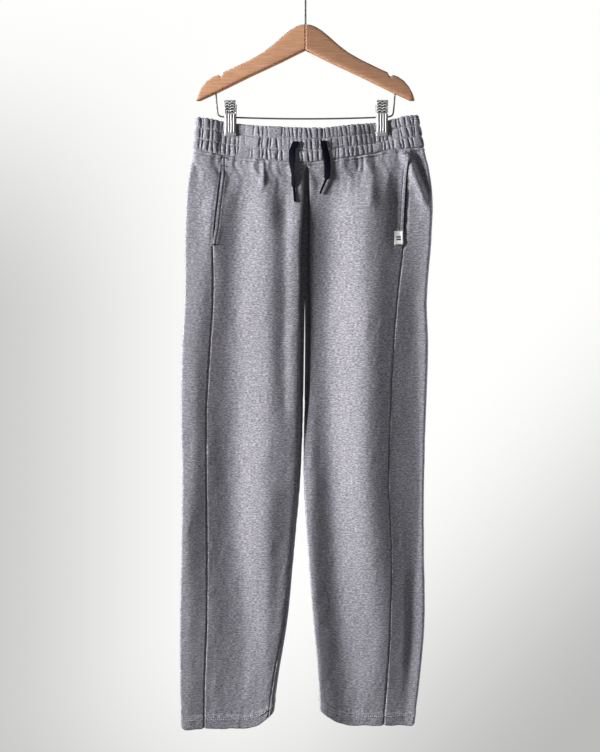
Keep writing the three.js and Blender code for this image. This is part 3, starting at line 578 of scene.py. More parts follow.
HALVES = {side: Half(side) for side in Side}
EDGE_STEPS = np.array([0, 0.5, 1.0, 1.7, 2.6, 3.6, 4.3, 5.0, 5.7, 6.8, 8.8, 11.5])


def lengths_along(points: Array) -> Array:
    """The length along a line of points up to each of them."""
    return np.concatenate([[0], np.cumsum(np.linalg.norm(np.diff(points, axis=0), axis=1))])


def edge_spaced(length: float, count: int) -> Array:
    """Lengths from 0 to length, close together at both ends."""
    middle = np.linspace(EDGE_STEPS[-1], length - EDGE_STEPS[-1], count - 2 * (len(EDGE_STEPS) - 1))
    return np.concatenate([EDGE_STEPS[:-1], middle, (length - EDGE_STEPS[:-1])[::-1]])


def front_y(x: float, z: float) -> float:
    """How far back the cloth's front lies at a place seen from the front.

    Args:
        x: the place across, in mm.
        z: its height in the row's frame, in mm.

    Returns:
        its place along Y in the garment's own plane, in mm.
    """
    if z > float(Band.seam(x)):
        height = (z - float(Band.seam(x))) / float(Band.top(x) - Band.seam(x))
        return -float(mix(Band.foot_depth(x), Band.depth(x), smooth(0, 0.5, height)))
    half = HALVES[Side.LEFT if x < 0 else Side.RIGHT]
    drop = 0.0
    for _ in range(6):
        drop += float(half.face(np.array([half.turn_at(x, drop)]), drop)[0, 2]) - z
    return float(half.face(np.array([half.turn_at(x, drop)]), drop)[0, 1])


class Surface:
    """A grid of points with outward normals, and the mesh pieces made from it."""

    def __init__(self, points: Array, wrap: bool = False) -> None:
        """Works out the normals.

        Args:
            points: the grid, in rows and columns.
            wrap: whether the last column meets the first.
        """
        self.points = points
        if wrap:
            across = np.roll(points, -1, axis=1) - np.roll(points, 1, axis=1)
        else:
            across = np.gradient(points, axis=1)
        down = np.gradient(points, axis=0)
        normals = np.cross(across, down)
        self.normals = normals / np.maximum(1e-12, np.linalg.norm(normals, axis=-1, keepdims=True))

    def flip(self) -> None:
        """Turns the normals to the other side."""
        self.normals = -self.normals

    def moved(self, out: Array | float) -> Array:
        """The points moved out by a distance."""
        out = np.asarray(out, float)
        return self.points + self.normals * (out[..., None] if out.ndim else out)


def grid_quads(grid: Array) -> Array:
    """The four-sided faces between the points of a numbered grid."""
    return np.stack([grid[:-1, :-1], grid[:-1, 1:], grid[1:, 1:], grid[1:, :-1]], -1).reshape(-1, 4)


def volume(points: Array, quads: Array) -> float:
    """Six times the signed volume inside quads."""
    a, b, c, d = (points[quads[:, k]] for k in range(4))
    return float(sum(np.einsum("ij,ij->i", a, np.cross(*pair)).sum() for pair in ((b, c), (c, d))))


def volume_with_ends(points: Array, quads: Array, ends: list[list[int]]) -> float:
    """Six times the signed volume inside quads with two flat ends.

    Args:
        points: the body's points.
        quads: its four-sided faces.
        ends: the point numbers round each end.

    Returns:
        the volume, below 0 where the faces look inward.
    """
    total = volume(points, quads)
    for end in ends:
        for i in range(1, len(end) - 1):
            total += float(np.dot(points[end[0]], np.cross(points[end[i]], points[end[i + 1]])))
    return total


class MeshMaker:
    """Gathers points and faces into one closed mesh."""

    def __init__(self) -> None:
        """Starts with no points."""
        self.points: list[Array] = []
        self.faces: list[list[int]] = []
        self.uvs: list[Array] = []
        self.paints: list[int] = []
        self.paint = 0
        self.count = 0

    def add(self, points: Array, faces: Iterable[Sequence[int]], uvs: Array | None = None) -> None:
        """Adds points with their faces.

        Args:
            points: the points, in mm.
            faces: point numbers of each face, counted from the first of these points.
            uvs: cloth coordinates of each point, in mm.
        """
        points = np.asarray(points, float).reshape(-1, 3)
        self.points.append(points)
        self.uvs.append(np.zeros((len(points), 2)) if uvs is None else np.asarray(uvs, float).reshape(-1, 2))
        self.faces.extend([[i + self.count for i in face] for face in faces])
        self.paints.extend([self.paint] * (len(self.faces) - len(self.paints)))
        self.count += len(points)

    def add_wall(self, outer: Array, inner: Array, uvs: Array | None = None, wrap: bool = False) -> None:
        """Adds a closed wall between two grids of the same size.

        Args:
            outer: the outer face's points, in rows and columns.
            inner: the inner face's points.
            uvs: cloth coordinates of the points, the same for both faces.
            wrap: whether the last column meets the first.
        """
        rows, cols = outer.shape[:2]
        near = np.arange(rows * cols).reshape(rows, cols)
        if wrap:
            near = np.concatenate([near, near[:, :1]], axis=1)
        far = near + rows * cols
        edges = [
            np.stack([near[0, :-1], far[0, :-1], far[0, 1:], near[0, 1:]], -1),
            np.stack([near[-1, :-1], near[-1, 1:], far[-1, 1:], far[-1, :-1]], -1),
        ]
        if not wrap:
            edges.append(np.stack([near[:-1, 0], near[1:, 0], far[1:, 0], far[:-1, 0]], -1))
            edges.append(np.stack([near[:-1, -1], far[:-1, -1], far[1:, -1], near[1:, -1]], -1))
        faces = np.concatenate([grid_quads(near), grid_quads(far)[:, ::-1], *edges])
        points = np.concatenate([outer.reshape(-1, 3), inner.reshape(-1, 3)])
        if volume(points, faces) < 0:
            faces = faces[:, ::-1]
        both = None if uvs is None else np.concatenate([uvs.reshape(-1, 2)] * 2)
        self.add(points, faces.tolist(), both)

    def add_loft(self, rings: Array, uvs: Array | None = None) -> None:
        """Adds a closed body through rings of points, with flat ends.

        Args:
            rings: the rings' points.
            uvs: cloth coordinates of the points.
        """
        rows, cols = rings.shape[:2]
        grid = np.arange(rows * cols).reshape(rows, cols)
        quads = grid_quads(np.concatenate([grid, grid[:, :1]], axis=1))
        ends = [list(range(cols))[::-1], [(rows - 1) * cols + c for c in range(cols)]]
        points = rings.reshape(-1, 3)
        faces = quads.tolist() + ends
        if volume_with_ends(points, quads, ends) < 0:
            faces = [face[::-1] for face in faces]
        self.add(points, faces, uvs)

    def add_tube(self, path: Array, radius: Array | float, sides: int = 12) -> None:
        """Adds a round bar along a path.

        Args:
            path: points of the centreline.
            radius: its radius, one number or one per point.
            sides: points round a ring.
        """
        along = np.gradient(path, axis=0)
        along /= np.linalg.norm(along, axis=1, keepdims=True)
        side = np.cross(along[0], [0, 0, 1] if abs(along[0][2]) < 0.9 else [0, 1, 0])
        frames = []
        for tangent in along:
            side = side - tangent * np.dot(side, tangent)
            side /= np.linalg.norm(side)
            frames.append((side.copy(), np.cross(tangent, side)))
        turns = np.linspace(0, FULL_TURN, sides, endpoint=False)
        radius = np.broadcast_to(radius, len(path))
        self.add_loft(np.array([
            p + r * (np.cos(turns)[:, None] * a + np.sin(turns)[:, None] * b)
            for p, r, (a, b) in zip(path, radius, frames)
        ]))

    def build(self, node: str, stuff: str, slot: Slot, *materials: bpy.types.Material) -> bpy.types.Object:
        """Makes the smooth piece that takes a CAD node's place, in metres from points in mm.

        Args:
            node: the node that it replaces.
            stuff: what it is made of, for its name.
            slot: the node's material slot; not used.
            materials: its materials, in the order of the paints.

        Returns:
            the new object, which rides on the body.
        """
        name = f"{node}_{stuff}"
        mesh = bpy.data.meshes.new(name)
        mesh.from_pydata((np.concatenate(self.points) * MM).tolist(), [], self.faces)
        mesh.validate()
        uvs = np.concatenate(self.uvs)
        layer = mesh.uv_layers.new(name="cloth")
        index = np.zeros(len(mesh.loops), np.int32)
        mesh.loops.foreach_get("vertex_index", index)
        layer.data.foreach_set("uv", (uvs[index] * MM).astype(np.float32).ravel())
        mesh.polygons.foreach_set("use_smooth", np.full(len(mesh.polygons), True))
        for material in materials:
            mesh.materials.append(material)
        mesh.polygons.foreach_set("material_index", np.array(self.paints, np.int32))
        obj = add_object(name, mesh)
        log.info("%s: %d faces", name, len(mesh.polygons))
        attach(obj, "root")
        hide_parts(node)
        return obj


def add_object(name: str, data: bpy.types.ID) -> bpy.types.Object:
    """Puts an object into the scene.

    Args:
        name: its name.
        data: its mesh, light or camera.

    Returns:
        the object.
    """
    obj = bpy.data.objects.new(name, data)
    bpy.context.scene.collection.objects.link(obj)
    return obj


class Value:
    """A shader socket with arithmetic."""

    def __init__(self, graph: "Graph", socket: bpy.types.NodeSocket) -> None:
        """Keeps the socket with the tree it belongs to."""
        self.graph = graph
        self.socket = socket

    def _math(self, operation: str, *others: "Value | float", swap: bool = False) -> "Value":
        """Makes a math node.

        Args:
            operation: what it works out.
            others: the values after this one.
            swap: whether this value comes last instead.

        Returns:
            the result.
        """
        inputs = [self, *others]
        if swap:
            inputs.reverse()
        return self.graph.node("ShaderNodeMath", "Value", dict(enumerate(inputs)), operation=operation)

    def __add__(self, other: "Value | float") -> "Value":
        """This value plus another."""
        return self._math("ADD", other)

    def __sub__(self, other: "Value | float") -> "Value":
        """This value less another."""
        return self._math("SUBTRACT", other)

    def __mul__(self, other: "Value | float") -> "Value":
        """This value times another."""
        return self._math("MULTIPLY", other)

    def __rsub__(self, other: float) -> "Value":
        """A number less this value."""
        return self._math("SUBTRACT", other, swap=True)

    def sine(self) -> "Value":
        """The sine."""
        return self._math("SINE")

    def at_least(self, other: "Value | float") -> "Value":
        """The larger of two values."""
        return self._math("MAXIMUM", other)

    def at_most(self, other: "Value | float") -> "Value":
        """The smaller of two values."""
        return self._math("MINIMUM", other)

    def between(self, low: float, high: float) -> "Value":
        """A smooth step from 0 at low to 1 at high."""
        limits = {"Value": self, "From Min": low, "From Max": high}
        return self.graph.node("ShaderNodeMapRange", "Result", limits, interpolation_type="SMOOTHSTEP")

    def within(self, low: float, high: float, blur: float) -> "Value":
        """1 between low and high, fading inside both over a blur."""
        return self.between(low, low + blur) * self.between(high, high - blur)


class Graph:
    """The node tree of one material."""

    def __init__(self, name: str) -> None:
        """Starts a material with an empty tree.

        Args:
            name: the material's name.
        """
        self.material = bpy.data.materials.new(name)
        self.material.use_nodes = True
        self.tree = self.material.node_tree
        self.tree.nodes.clear()
        self.output = self.tree.nodes.new("ShaderNodeOutputMaterial")

    def node(self, kind: str, output: str | int, inputs: dict, **settings: object) -> Value:
        """Makes any node.

        Args:
            kind: its type.
            output: the output wanted.
            inputs: values or numbers by input name or place.
            settings: its properties.

        Returns:
            the output as a value.
        """
        made = self.tree.nodes.new(kind)
        for key, value in settings.items():
            setattr(made, key, value)
        for key, value in inputs.items():
            if isinstance(value, Value):
                self.tree.links.new(value.socket, made.inputs[key])
            else:
                made.inputs[key].default_value = value
        return Value(self, made.outputs[output])

    def uv(self) -> Value:
        """The piece's own cloth coordinates, in metres."""
        return self.node("ShaderNodeUVMap", "UV", {}, uv_map="cloth")

    def place(self) -> Value:
        """Object coordinates, in metres."""
        return self.node("ShaderNodeTexCoord", "Object", {})

    def scaled(self, vector: Value, scale: Sequence[float]) -> Value:
        """Coordinates scaled."""
        return self.node("ShaderNodeMapping", "Vector", {"Vector": vector, "Scale": scale})

    def noise(self, vector: Value, scale: float, detail: float = 2.0, rough: float = 0.5) -> Value:
        """Noise from 0 to 1."""
        inputs = {"Vector": vector, "Scale": scale, "Detail": detail, "Roughness": rough}
        return self.node("ShaderNodeTexNoise", 0, inputs)

    def split(self, vector: Value) -> tuple[Value, Value, Value]:
        """Takes a vector apart.

        Args:
            vector: the vector.

        Returns:
            its X, Y and Z.
        """
        first = self.node("ShaderNodeSeparateXYZ", "X", {0: vector})
        outputs = first.socket.node.outputs
        return first, Value(self, outputs["Y"]), Value(self, outputs["Z"])

    def blend(self, share: Value | float, first: object, second: object) -> Value:
        """Mixes two colours.

        Args:
            share: the second colour's share.
            first: the first colour, fixed or a value.
            second: the second colour.

        Returns:
            the mixed colour.
        """
        made = self.tree.nodes.new("ShaderNodeMix")
        made.data_type = "RGBA"
        for index, value in ((0, share), (6, first), (7, second)):
            if isinstance(value, Value):
                self.tree.links.new(value.socket, made.inputs[index])
            else:
                made.inputs[index].default_value = value
        return Value(self, made.outputs[2])

    def bump(self, height: Value, distance: float, strength: float = 1.0) -> Value:
        """A normal from a height."""
        inputs = {"Height": height, "Distance": distance, "Strength": strength}
        return self.node("ShaderNodeBump", "Normal", inputs)

    def ends_in(self, shader: Value) -> bpy.types.Material:
        """Ends the tree in a shader and gives the material."""
        self.tree.links.new(shader.socket, self.output.inputs["Surface"])
        return self.material

    def surface(self, inputs: dict) -> bpy.types.Material:
        """Ends the tree in a principled surface with these inputs."""
        return self.ends_in(self.node("ShaderNodeBsdfPrincipled", "BSDF", inputs))


Colour = tuple[float, float, float]


def rgba(red: float, green: float, blue: float) -> tuple[float, float, float, float]:
    """A colour with full alpha."""
    return (red, green, blue, 1.0)


def shaded(colour: Colour, shade: float) -> tuple[float, float, float, float]:
    """A colour with every part times a shade."""
    return rgba(*(part * shade for part in colour))


@dataclass(frozen=True)
class Fleece:
    """Grey marl fleece: pale and dark flecks drawn out across the cloth."""

    dark: Colour = (0.132, 0.128, 0.162)
    middle: Colour = (0.235, 0.231, 0.272)
    pale: Colour = (0.455, 0.452, 0.49)
    fleck: float = 0.00088
    stretch: float = 0.46
    wale: float = 0.0014
    course: float = 0.0011
    relief: float = 0.00022
    roughness: float = 0.94
    gloss: float = 0.25
    sheen: float = 0.12
    sheen_roughness: float = 0.55

    def material(self, name: str = "fleece_marl", shade: float = 1.0) -> bpy.types.Material:
        """Makes the material.

        Args:
            name: its name.
            shade: how much it is darkened, as painted shade for hidden layers.

        Returns:
            the material.
        """
        g = Graph(name)
        uv = g.uv()
        across = g.scaled(uv, (self.stretch, 1, 1))
        fleck = g.noise(across, 1 / (self.fleck * 2.2), 3.0, 0.66)
        slub = g.noise(g.scaled(uv, (0.3, 1, 1)), 230)
        cloud = g.noise(g.scaled(uv, (0.6, 1, 1)), 26)
        tone = fleck * 0.82 + slub * 0.13 + cloud * 0.05
        pale_share = tone.between(0.46, 0.68)
        dark_share = tone.between(0.51, 0.35)
        colour = g.blend(pale_share, shaded(self.middle, shade), shaded(self.pale, shade))
        colour = g.blend(dark_share, colour, shaded(self.dark, shade))
        x, y, _ = g.split(uv)
        wale = (x * (FULL_TURN / self.wale)).sine()
        course = (y * (FULL_TURN / self.course) + wale * 0.9).sine()
        height = wale * 0.35 + course * 0.3 + fleck * 1.6
        return g.surface({
            "Base Color": colour, "Roughness": self.roughness, "Normal": g.bump(height, self.relief, 0.7),
            "Specular IOR Level": self.gloss, "Sheen Weight": self.sheen,
            "Sheen Roughness": self.sheen_roughness, "Sheen Tint": rgba(0.9, 0.9, 1.0),
        })


@dataclass(frozen=True)
class Thread:
    """Plain sewing thread."""

    colour: Colour = (0.16, 0.16, 0.19)
    roughness: float = 0.7
    sheen: float = 0.1

    def material(self, name: str) -> bpy.types.Material:
        """Makes the material under a name."""
        inputs = {"Base Color": rgba(*self.colour), "Roughness": self.roughness, "Sheen Weight": self.sheen}
        return Graph(name).surface(inputs)


@dataclass(frozen=True)
class Braid:
    """Near-black navy flat braid, its strands crossing both ways, their crests painted lighter as highlight.
    """

    colour: Colour = (0.0035, 0.0042, 0.009)
    strand: float = 0.0016
    relief: float = 0.0002
    roughness: float = 0.95
    gloss: float = 0.05

    def material(self) -> bpy.types.Material:
        """Makes the material.

        Returns:
            the material.
        """
        g = Graph("braid_navy")
        x, y, _ = g.split(g.uv())
        left = ((y + x) * (FULL_TURN / self.strand)).sine()
        right = ((y - x) * (FULL_TURN / self.strand)).sine()
        weave = left.at_least(right)
        # Painted highlight: the raised strands are painted up to 1.7 times lighter than the hollows between
        # them
        colour = g.blend(weave.between(0.2, 1.0) * 0.6, rgba(*self.colour), shaded(self.colour, 1.7))
        return g.surface({
            "Base Color": colour, "Roughness": self.roughness, "Normal": g.bump(weave, self.relief),
            "Specular IOR Level": self.gloss,
        })


@dataclass(frozen=True)
class Wood:
    """Light lacquered wood with fine grain along the arm."""

    pale: Colour = (0.52, 0.292, 0.185)
    deep: Colour = (0.40, 0.21, 0.122)
    stretch: tuple[int, int, int] = (1, 9, 16)
    relief: float = 0.0001
    roughness: float = 0.6
    gloss: float = 0.12
    lacquer: float = 0.02
    lacquer_roughness: float = 0.45

    def material(self, name: str, slope: float) -> bpy.types.Material:
        """Makes the material.

        Args:
            name: its name.
            slope: how far its grain is turned about Y, in degrees.

        Returns:
            the material.
        """
        g = Graph(name)
        turned = {"Vector": g.place(), "Rotation": (0, math.radians(slope), 0), "Scale": self.stretch}
        vector = g.node("ShaderNodeMapping", "Vector", turned)
        grain = g.noise(vector, 26, 4.0, 0.6)
        fine = g.noise(vector, 110)
        tone = grain * 0.75 + fine * 0.25
        colour = g.blend(tone.between(0.35, 0.68), rgba(*self.deep), rgba(*self.pale))
        return g.surface({
            "Base Color": colour, "Roughness": self.roughness, "Normal": g.bump(tone, self.relief, 0.5),
            "Specular IOR Level": self.gloss, "Coat Weight": self.lacquer,
            "Coat Roughness": self.lacquer_roughness,
        })


@dataclass(frozen=True)
class Metal:
    """Plated or blackened steel, a little smeared along its length."""

    colour: Colour = (0.48, 0.48, 0.495)
    roughness: float = 0.36
    metallic: float = 0.4
    gloss: float = 0.5
    smear: float = 0.16

    def material(self, name: str) -> bpy.types.Material:
        """Makes the material.

        Args:
            name: its name.

        Returns:
            the material.
        """
        g = Graph(name)
        smear = g.noise(g.scaled(g.place(), (1, 1, 0.2)), 900)
        return g.surface({
            "Base Color": rgba(*self.colour), "Metallic": self.metallic,
            "Roughness": smear * self.smear + self.roughness, "Specular IOR Level": self.gloss,
        })


@dataclass(frozen=True)
class Woven:
    """White woven label cloth with a plain mark of two short bars."""

    ground: Colour = (0.95, 0.95, 0.945)
    mark: Colour = (0.02, 0.024, 0.06)
    weft: float = 0.0009
    warp: float = 0.0007
    across: tuple[float, float] = (0.0034, 0.0106)
    upper: tuple[float, float] = (0.0072, 0.0098)
    lower: tuple[float, float] = (0.0108, 0.0134)
    blur: float = 0.0003
    relief: float = 0.0001
    roughness: float = 0.85

    def material(self) -> bpy.types.Material:
        """Makes the material.

        Returns:
            the material.
        """
        g = Graph("label_woven")
        x, y, _ = g.split(g.uv())
        rib = (y * (FULL_TURN / self.weft)).sine() + (x * (FULL_TURN / self.warp)).sine() * 0.5
        bars = y.within(*self.upper, self.blur) + y.within(*self.lower, self.blur)
        mark = x.within(*self.across, self.blur) * bars
        colour = g.blend(mark, rgba(*self.ground), rgba(*self.mark))
        normal = g.bump(rib, self.relief)
        return g.surface({"Base Color": colour, "Roughness": self.roughness, "Normal": normal})


class Finishes:
    """Every material of the object."""

    def __init__(self) -> None:
        """Makes the materials."""
        self.fleece = Fleece().material()
        # A darker copy of the fleece: painted shade for the pocket layers behind the slits
        self.painted_shade_fleece = Fleece().material("fleece_painted_shade", 0.55)
        self.thread = Thread().material("thread_grey")
        self.thread_dark = Thread((0.045, 0.045, 0.055)).material("thread_dark")
        self.thread_pale = Thread((0.4, 0.4, 0.44)).material("thread_pale")
        self.braid = Braid().material()
        self.wood = {
            Side.LEFT: Wood().material("wood_left", 27),
            Side.RIGHT: Wood().material("wood_right", -27),
        }
        self.steel = Metal().material("steel_plated")
        self.wire_steel = Metal((0.1, 0.095, 0.1), 0.4, 0.3).material("steel_wire")
        # A darker copy of the plated steel: painted shade under the clip's finger grip
        self.grip_shade_steel = Metal((0.07, 0.07, 0.075), 0.45, 0.5).material("steel_grip_painted_shade")
        # A paler copy of the plated steel: painted highlight on the clip's arched ridges
        self.pale_steel = Metal((0.62, 0.62, 0.64), 0.4, 0.2).material("steel_ridge_painted_highlight")
        self.dark_steel = Metal((0.006, 0.006, 0.008), 0.7, 0.0, 0.03).material("steel_dark")
        self.label = Woven().material()


def to_row(points: Array) -> Array:
    """Garment points moved to the row's frame, in mm."""
    return points + np.array([0, GARMENT_Y, 0])


@dataclass
class Panel:
    """One leg panel, front or back, from the waist seam to the hem."""

    side: Side
    kind: Face
    finishes: Finishes
    rows: int = 322
    quick_rows: int = 150
    quick_columns: int = 80
    dense_rows: int = 14
    seam_groove: float = 1.8
    inseam_groove: float = 1.0
    hem_fold: float = 0.7
    hem_thicker: float = 1.2
    columns = {Face.FRONT: 116, Face.BACK: 132}
    side_seed = {Side.LEFT: 1.3, Side.RIGHT: 4.1}
    face_seed = {Face.FRONT: 0, Face.BACK: 0.7}
    pocket_sunk = {Side.LEFT: 0.6, Side.RIGHT: 1.6}
    cloth_start = {Side.LEFT: 0.0, Side.RIGHT: 400.0}
    back_cloth_start = 900.0
    lengths: Array = field(init=False)
    surface: Surface = field(init=False)
    out: Array = field(init=False)

    def __post_init__(self) -> None:
        """Lays out the rows and columns and works out the finished face."""
        half = HALVES[self.side]
        self.drops = self._row_drops()
        count = self.columns[self.kind]
        rows = [half.columns(self.kind, drop, count) for drop in self.drops]
        self.arcs = np.array([arcs for _, arcs in rows])
        self.lengths = self.arcs[:, -1]
        grid = [half.face(turns, drop) for (turns, _), drop in zip(rows, self.drops)]
        self.surface = Surface(to_row(np.array(grid)))
        self.x = self.surface.points[..., 0]
        facing = self.surface.normals[len(self.drops) // 2, count // 2, 1]
        if (facing > 0) == (self.kind is Face.FRONT):
            self.surface.flip()
        self.out = self._relief()

    def _row_drops(self) -> Array:
        """The rows' drops, closer together at the waist seam and at the hem.

        Returns:
            the drops.
        """
        base = np.linspace(0, LEG_DROP, self.rows - 2 * (self.dense_rows - 1))
        top = np.linspace(0, 14, self.dense_rows)
        foot = np.linspace(LEG_DROP - 24, LEG_DROP, self.dense_rows)
        drops = np.unique(np.round(np.concatenate([base, top, foot]), 2))
        drops = drops[np.concatenate([[True], np.diff(drops) > 0.35])]
        drops[-1] = LEG_DROP
        return drops

    def _relief(self) -> Array:
        """How far each point stands out from the plain face: grooves, puckers and hem.

        Returns:
            the relief of every point.
        """
        a = self.arcs
        b = self.lengths[:, None] - a
        v = np.broadcast_to(self.drops[:, None], a.shape)
        seed = self.side_seed[self.side] + self.face_seed[self.kind]
        past = smooth(POCKET.end - 3, POCKET.end + 5, v)
        pocket = smooth(POCKET.start - 4, POCKET.start + 4, v) * (1 - past)
        out = self._side_seam(a, pocket)
        below = smooth(CROTCH_DROP - 4, CROTCH_DROP + 20, v)
        out = out - self.inseam_groove * bell(b, 0, 1.5) * below
        out = out + 0.5 * wander(v / 17, seed) * bell(a, 3, 8) * (0.4 + 0.6 * pocket)
        out = out + 0.32 * wander(v / 22, seed + 2) * bell(b, 6, 8) * (0.3 + 0.7 * below)
        out = out + self.hem_fold * smooth(HEM.line - 4.5, HEM.line - 1.5, v)
        out = out - 0.4 * bell(v, HEM.line, 1.0)
        out = out + 0.22 * wander(a / 13 + 0.1 * v / 20, seed + 3) * bell(v, HEM.line - 1, 8)
        out = out - 1.5 * bell(v, 0, 1.4) + 0.35 * bell(v, 2.7, 1.2) - 1.0 * bell(v, WAIST_STITCH_DROP, 0.9)
        return self._ripples(out, v, seed)

    def _side_seam(self, a: Array, pocket: Array) -> Array:
        """The relief along the side seam: its groove, and the pocket's edge where that opens.

        Args:
            a: lengths from the side seam.
            pocket: 1 along the pocket's opening and 0 away from it.

        Returns:
            the relief of every point.
        """
        groove = -self.seam_groove * bell(a, 0, 1.15)
        if self.kind is Face.FRONT:
            edge = 0.6 * (1 - smooth(5.4, 8.6, a)) - 0.9 * bell(a, POCKET.hem, 0.9)
        else:
            edge = -self.pocket_sunk[self.side] * (1 - smooth(1.5, 7, a))
        return mix(groove, edge, pocket)

    def _ripples(self, out: Array, v: Array, seed: float) -> Array:
        """Adds the gathers under the waistband and the cloth's slight unevenness.

        Args:
            out: the relief so far.
            v: the drop of every point.
            seed: where the waves start.

        Returns:
            the relief with the ripples.
        """
        x = self.x
        gather = wander(x / 9.5, seed + 1) * 0.3 + wander(x / 21, seed + 5) * 0.45
        out = out + gather * bell(v, 2, 11)
        out = out + 1.0 * wander(x / 34 + 0.2 * wander(v / 90, 2), seed + 6) * bell(v, 14, 42)
        out = out + 0.55 * wander(x / 75 + v / 700, seed + 7) * wander(v / 240, seed)
        out = out + 0.28 * wander(x / 31 + v / 160, seed + 8) * wander(v / 85, seed + 9)
        return out + 0.16 * wander(v / 24 + x / 60, seed + 10) * wander(x / 18, seed + 11)

    def point(self, row: Array, arc: Array, over: float = 0.0) -> Line:
        """Finds places on the finished face.

        Args:
            row: their drops.
            arc: their lengths from the side seam.
            over: how far they stand over the face.

        Returns:
            the points, and the face's normals there.
        """
        rows = np.interp(row, self.drops, np.arange(len(self.drops)))
        columns = np.arange(self.arcs.shape[1])
        outer = self.surface.moved(self.out + over)
        points, normals = [], []
        for r, s in zip(rows, arc):
            i = min(int(r), len(self.drops) - 2)
            pair = []
            for k in (i, i + 1):
                c = float(np.interp(s, self.arcs[k], columns))
                j = min(int(c), len(columns) - 2)
                grids = outer, self.surface.normals
                pair.append([mix(grid[k, j], grid[k, j + 1], c - j) for grid in grids])
            points.append(mix(pair[0][0], pair[1][0], r - i))
            normals.append(mix(pair[0][1], pair[1][1], r - i))
        return np.array(points), np.array(normals)

    def build(self) -> bpy.types.Object:
        """Makes the panel's closed shell.

        Returns:
            the panel.
        """
        turned_up = smooth(LEG_DROP - HEM.deep - 2, LEG_DROP - HEM.deep, self.drops)[:, None]
        thick = CLOTH + self.hem_thicker * turned_up
        inner = self.surface.moved(np.broadcast_to(-thick, self.arcs.shape))
        uvs = np.stack([self.arcs, np.broadcast_to(self.drops[:, None], self.arcs.shape)], -1)
        uvs = uvs + self.cloth_start[self.side] + (self.back_cloth_start if self.kind is Face.BACK else 0.0)
        maker = MeshMaker()
        maker.add_wall(self.surface.moved(self.out), inner, uvs)
        name = f"{self.kind}_{self.side}"
        obj = maker.build(name, "cloth", Slot.FLEECE, self.finishes.fleece)
        mean, width = float(self.lengths.mean()), float(self.lengths.max())
        whole = LEG_DROP + HEM.deep
        log.info("%s: mean width %.0f mm, widest %.0f mm, cut %.0f mm long", name, mean, width, whole)
        whole * MM
        mean * whole * MM * MM
        return obj


@dataclass(frozen=True)
class Crease:
    """One crease in a row of gathers: its place round the band and its shape over the row."""

    place: float
    lean: float
    deep: float
    wide: float
    low: float
    high: float


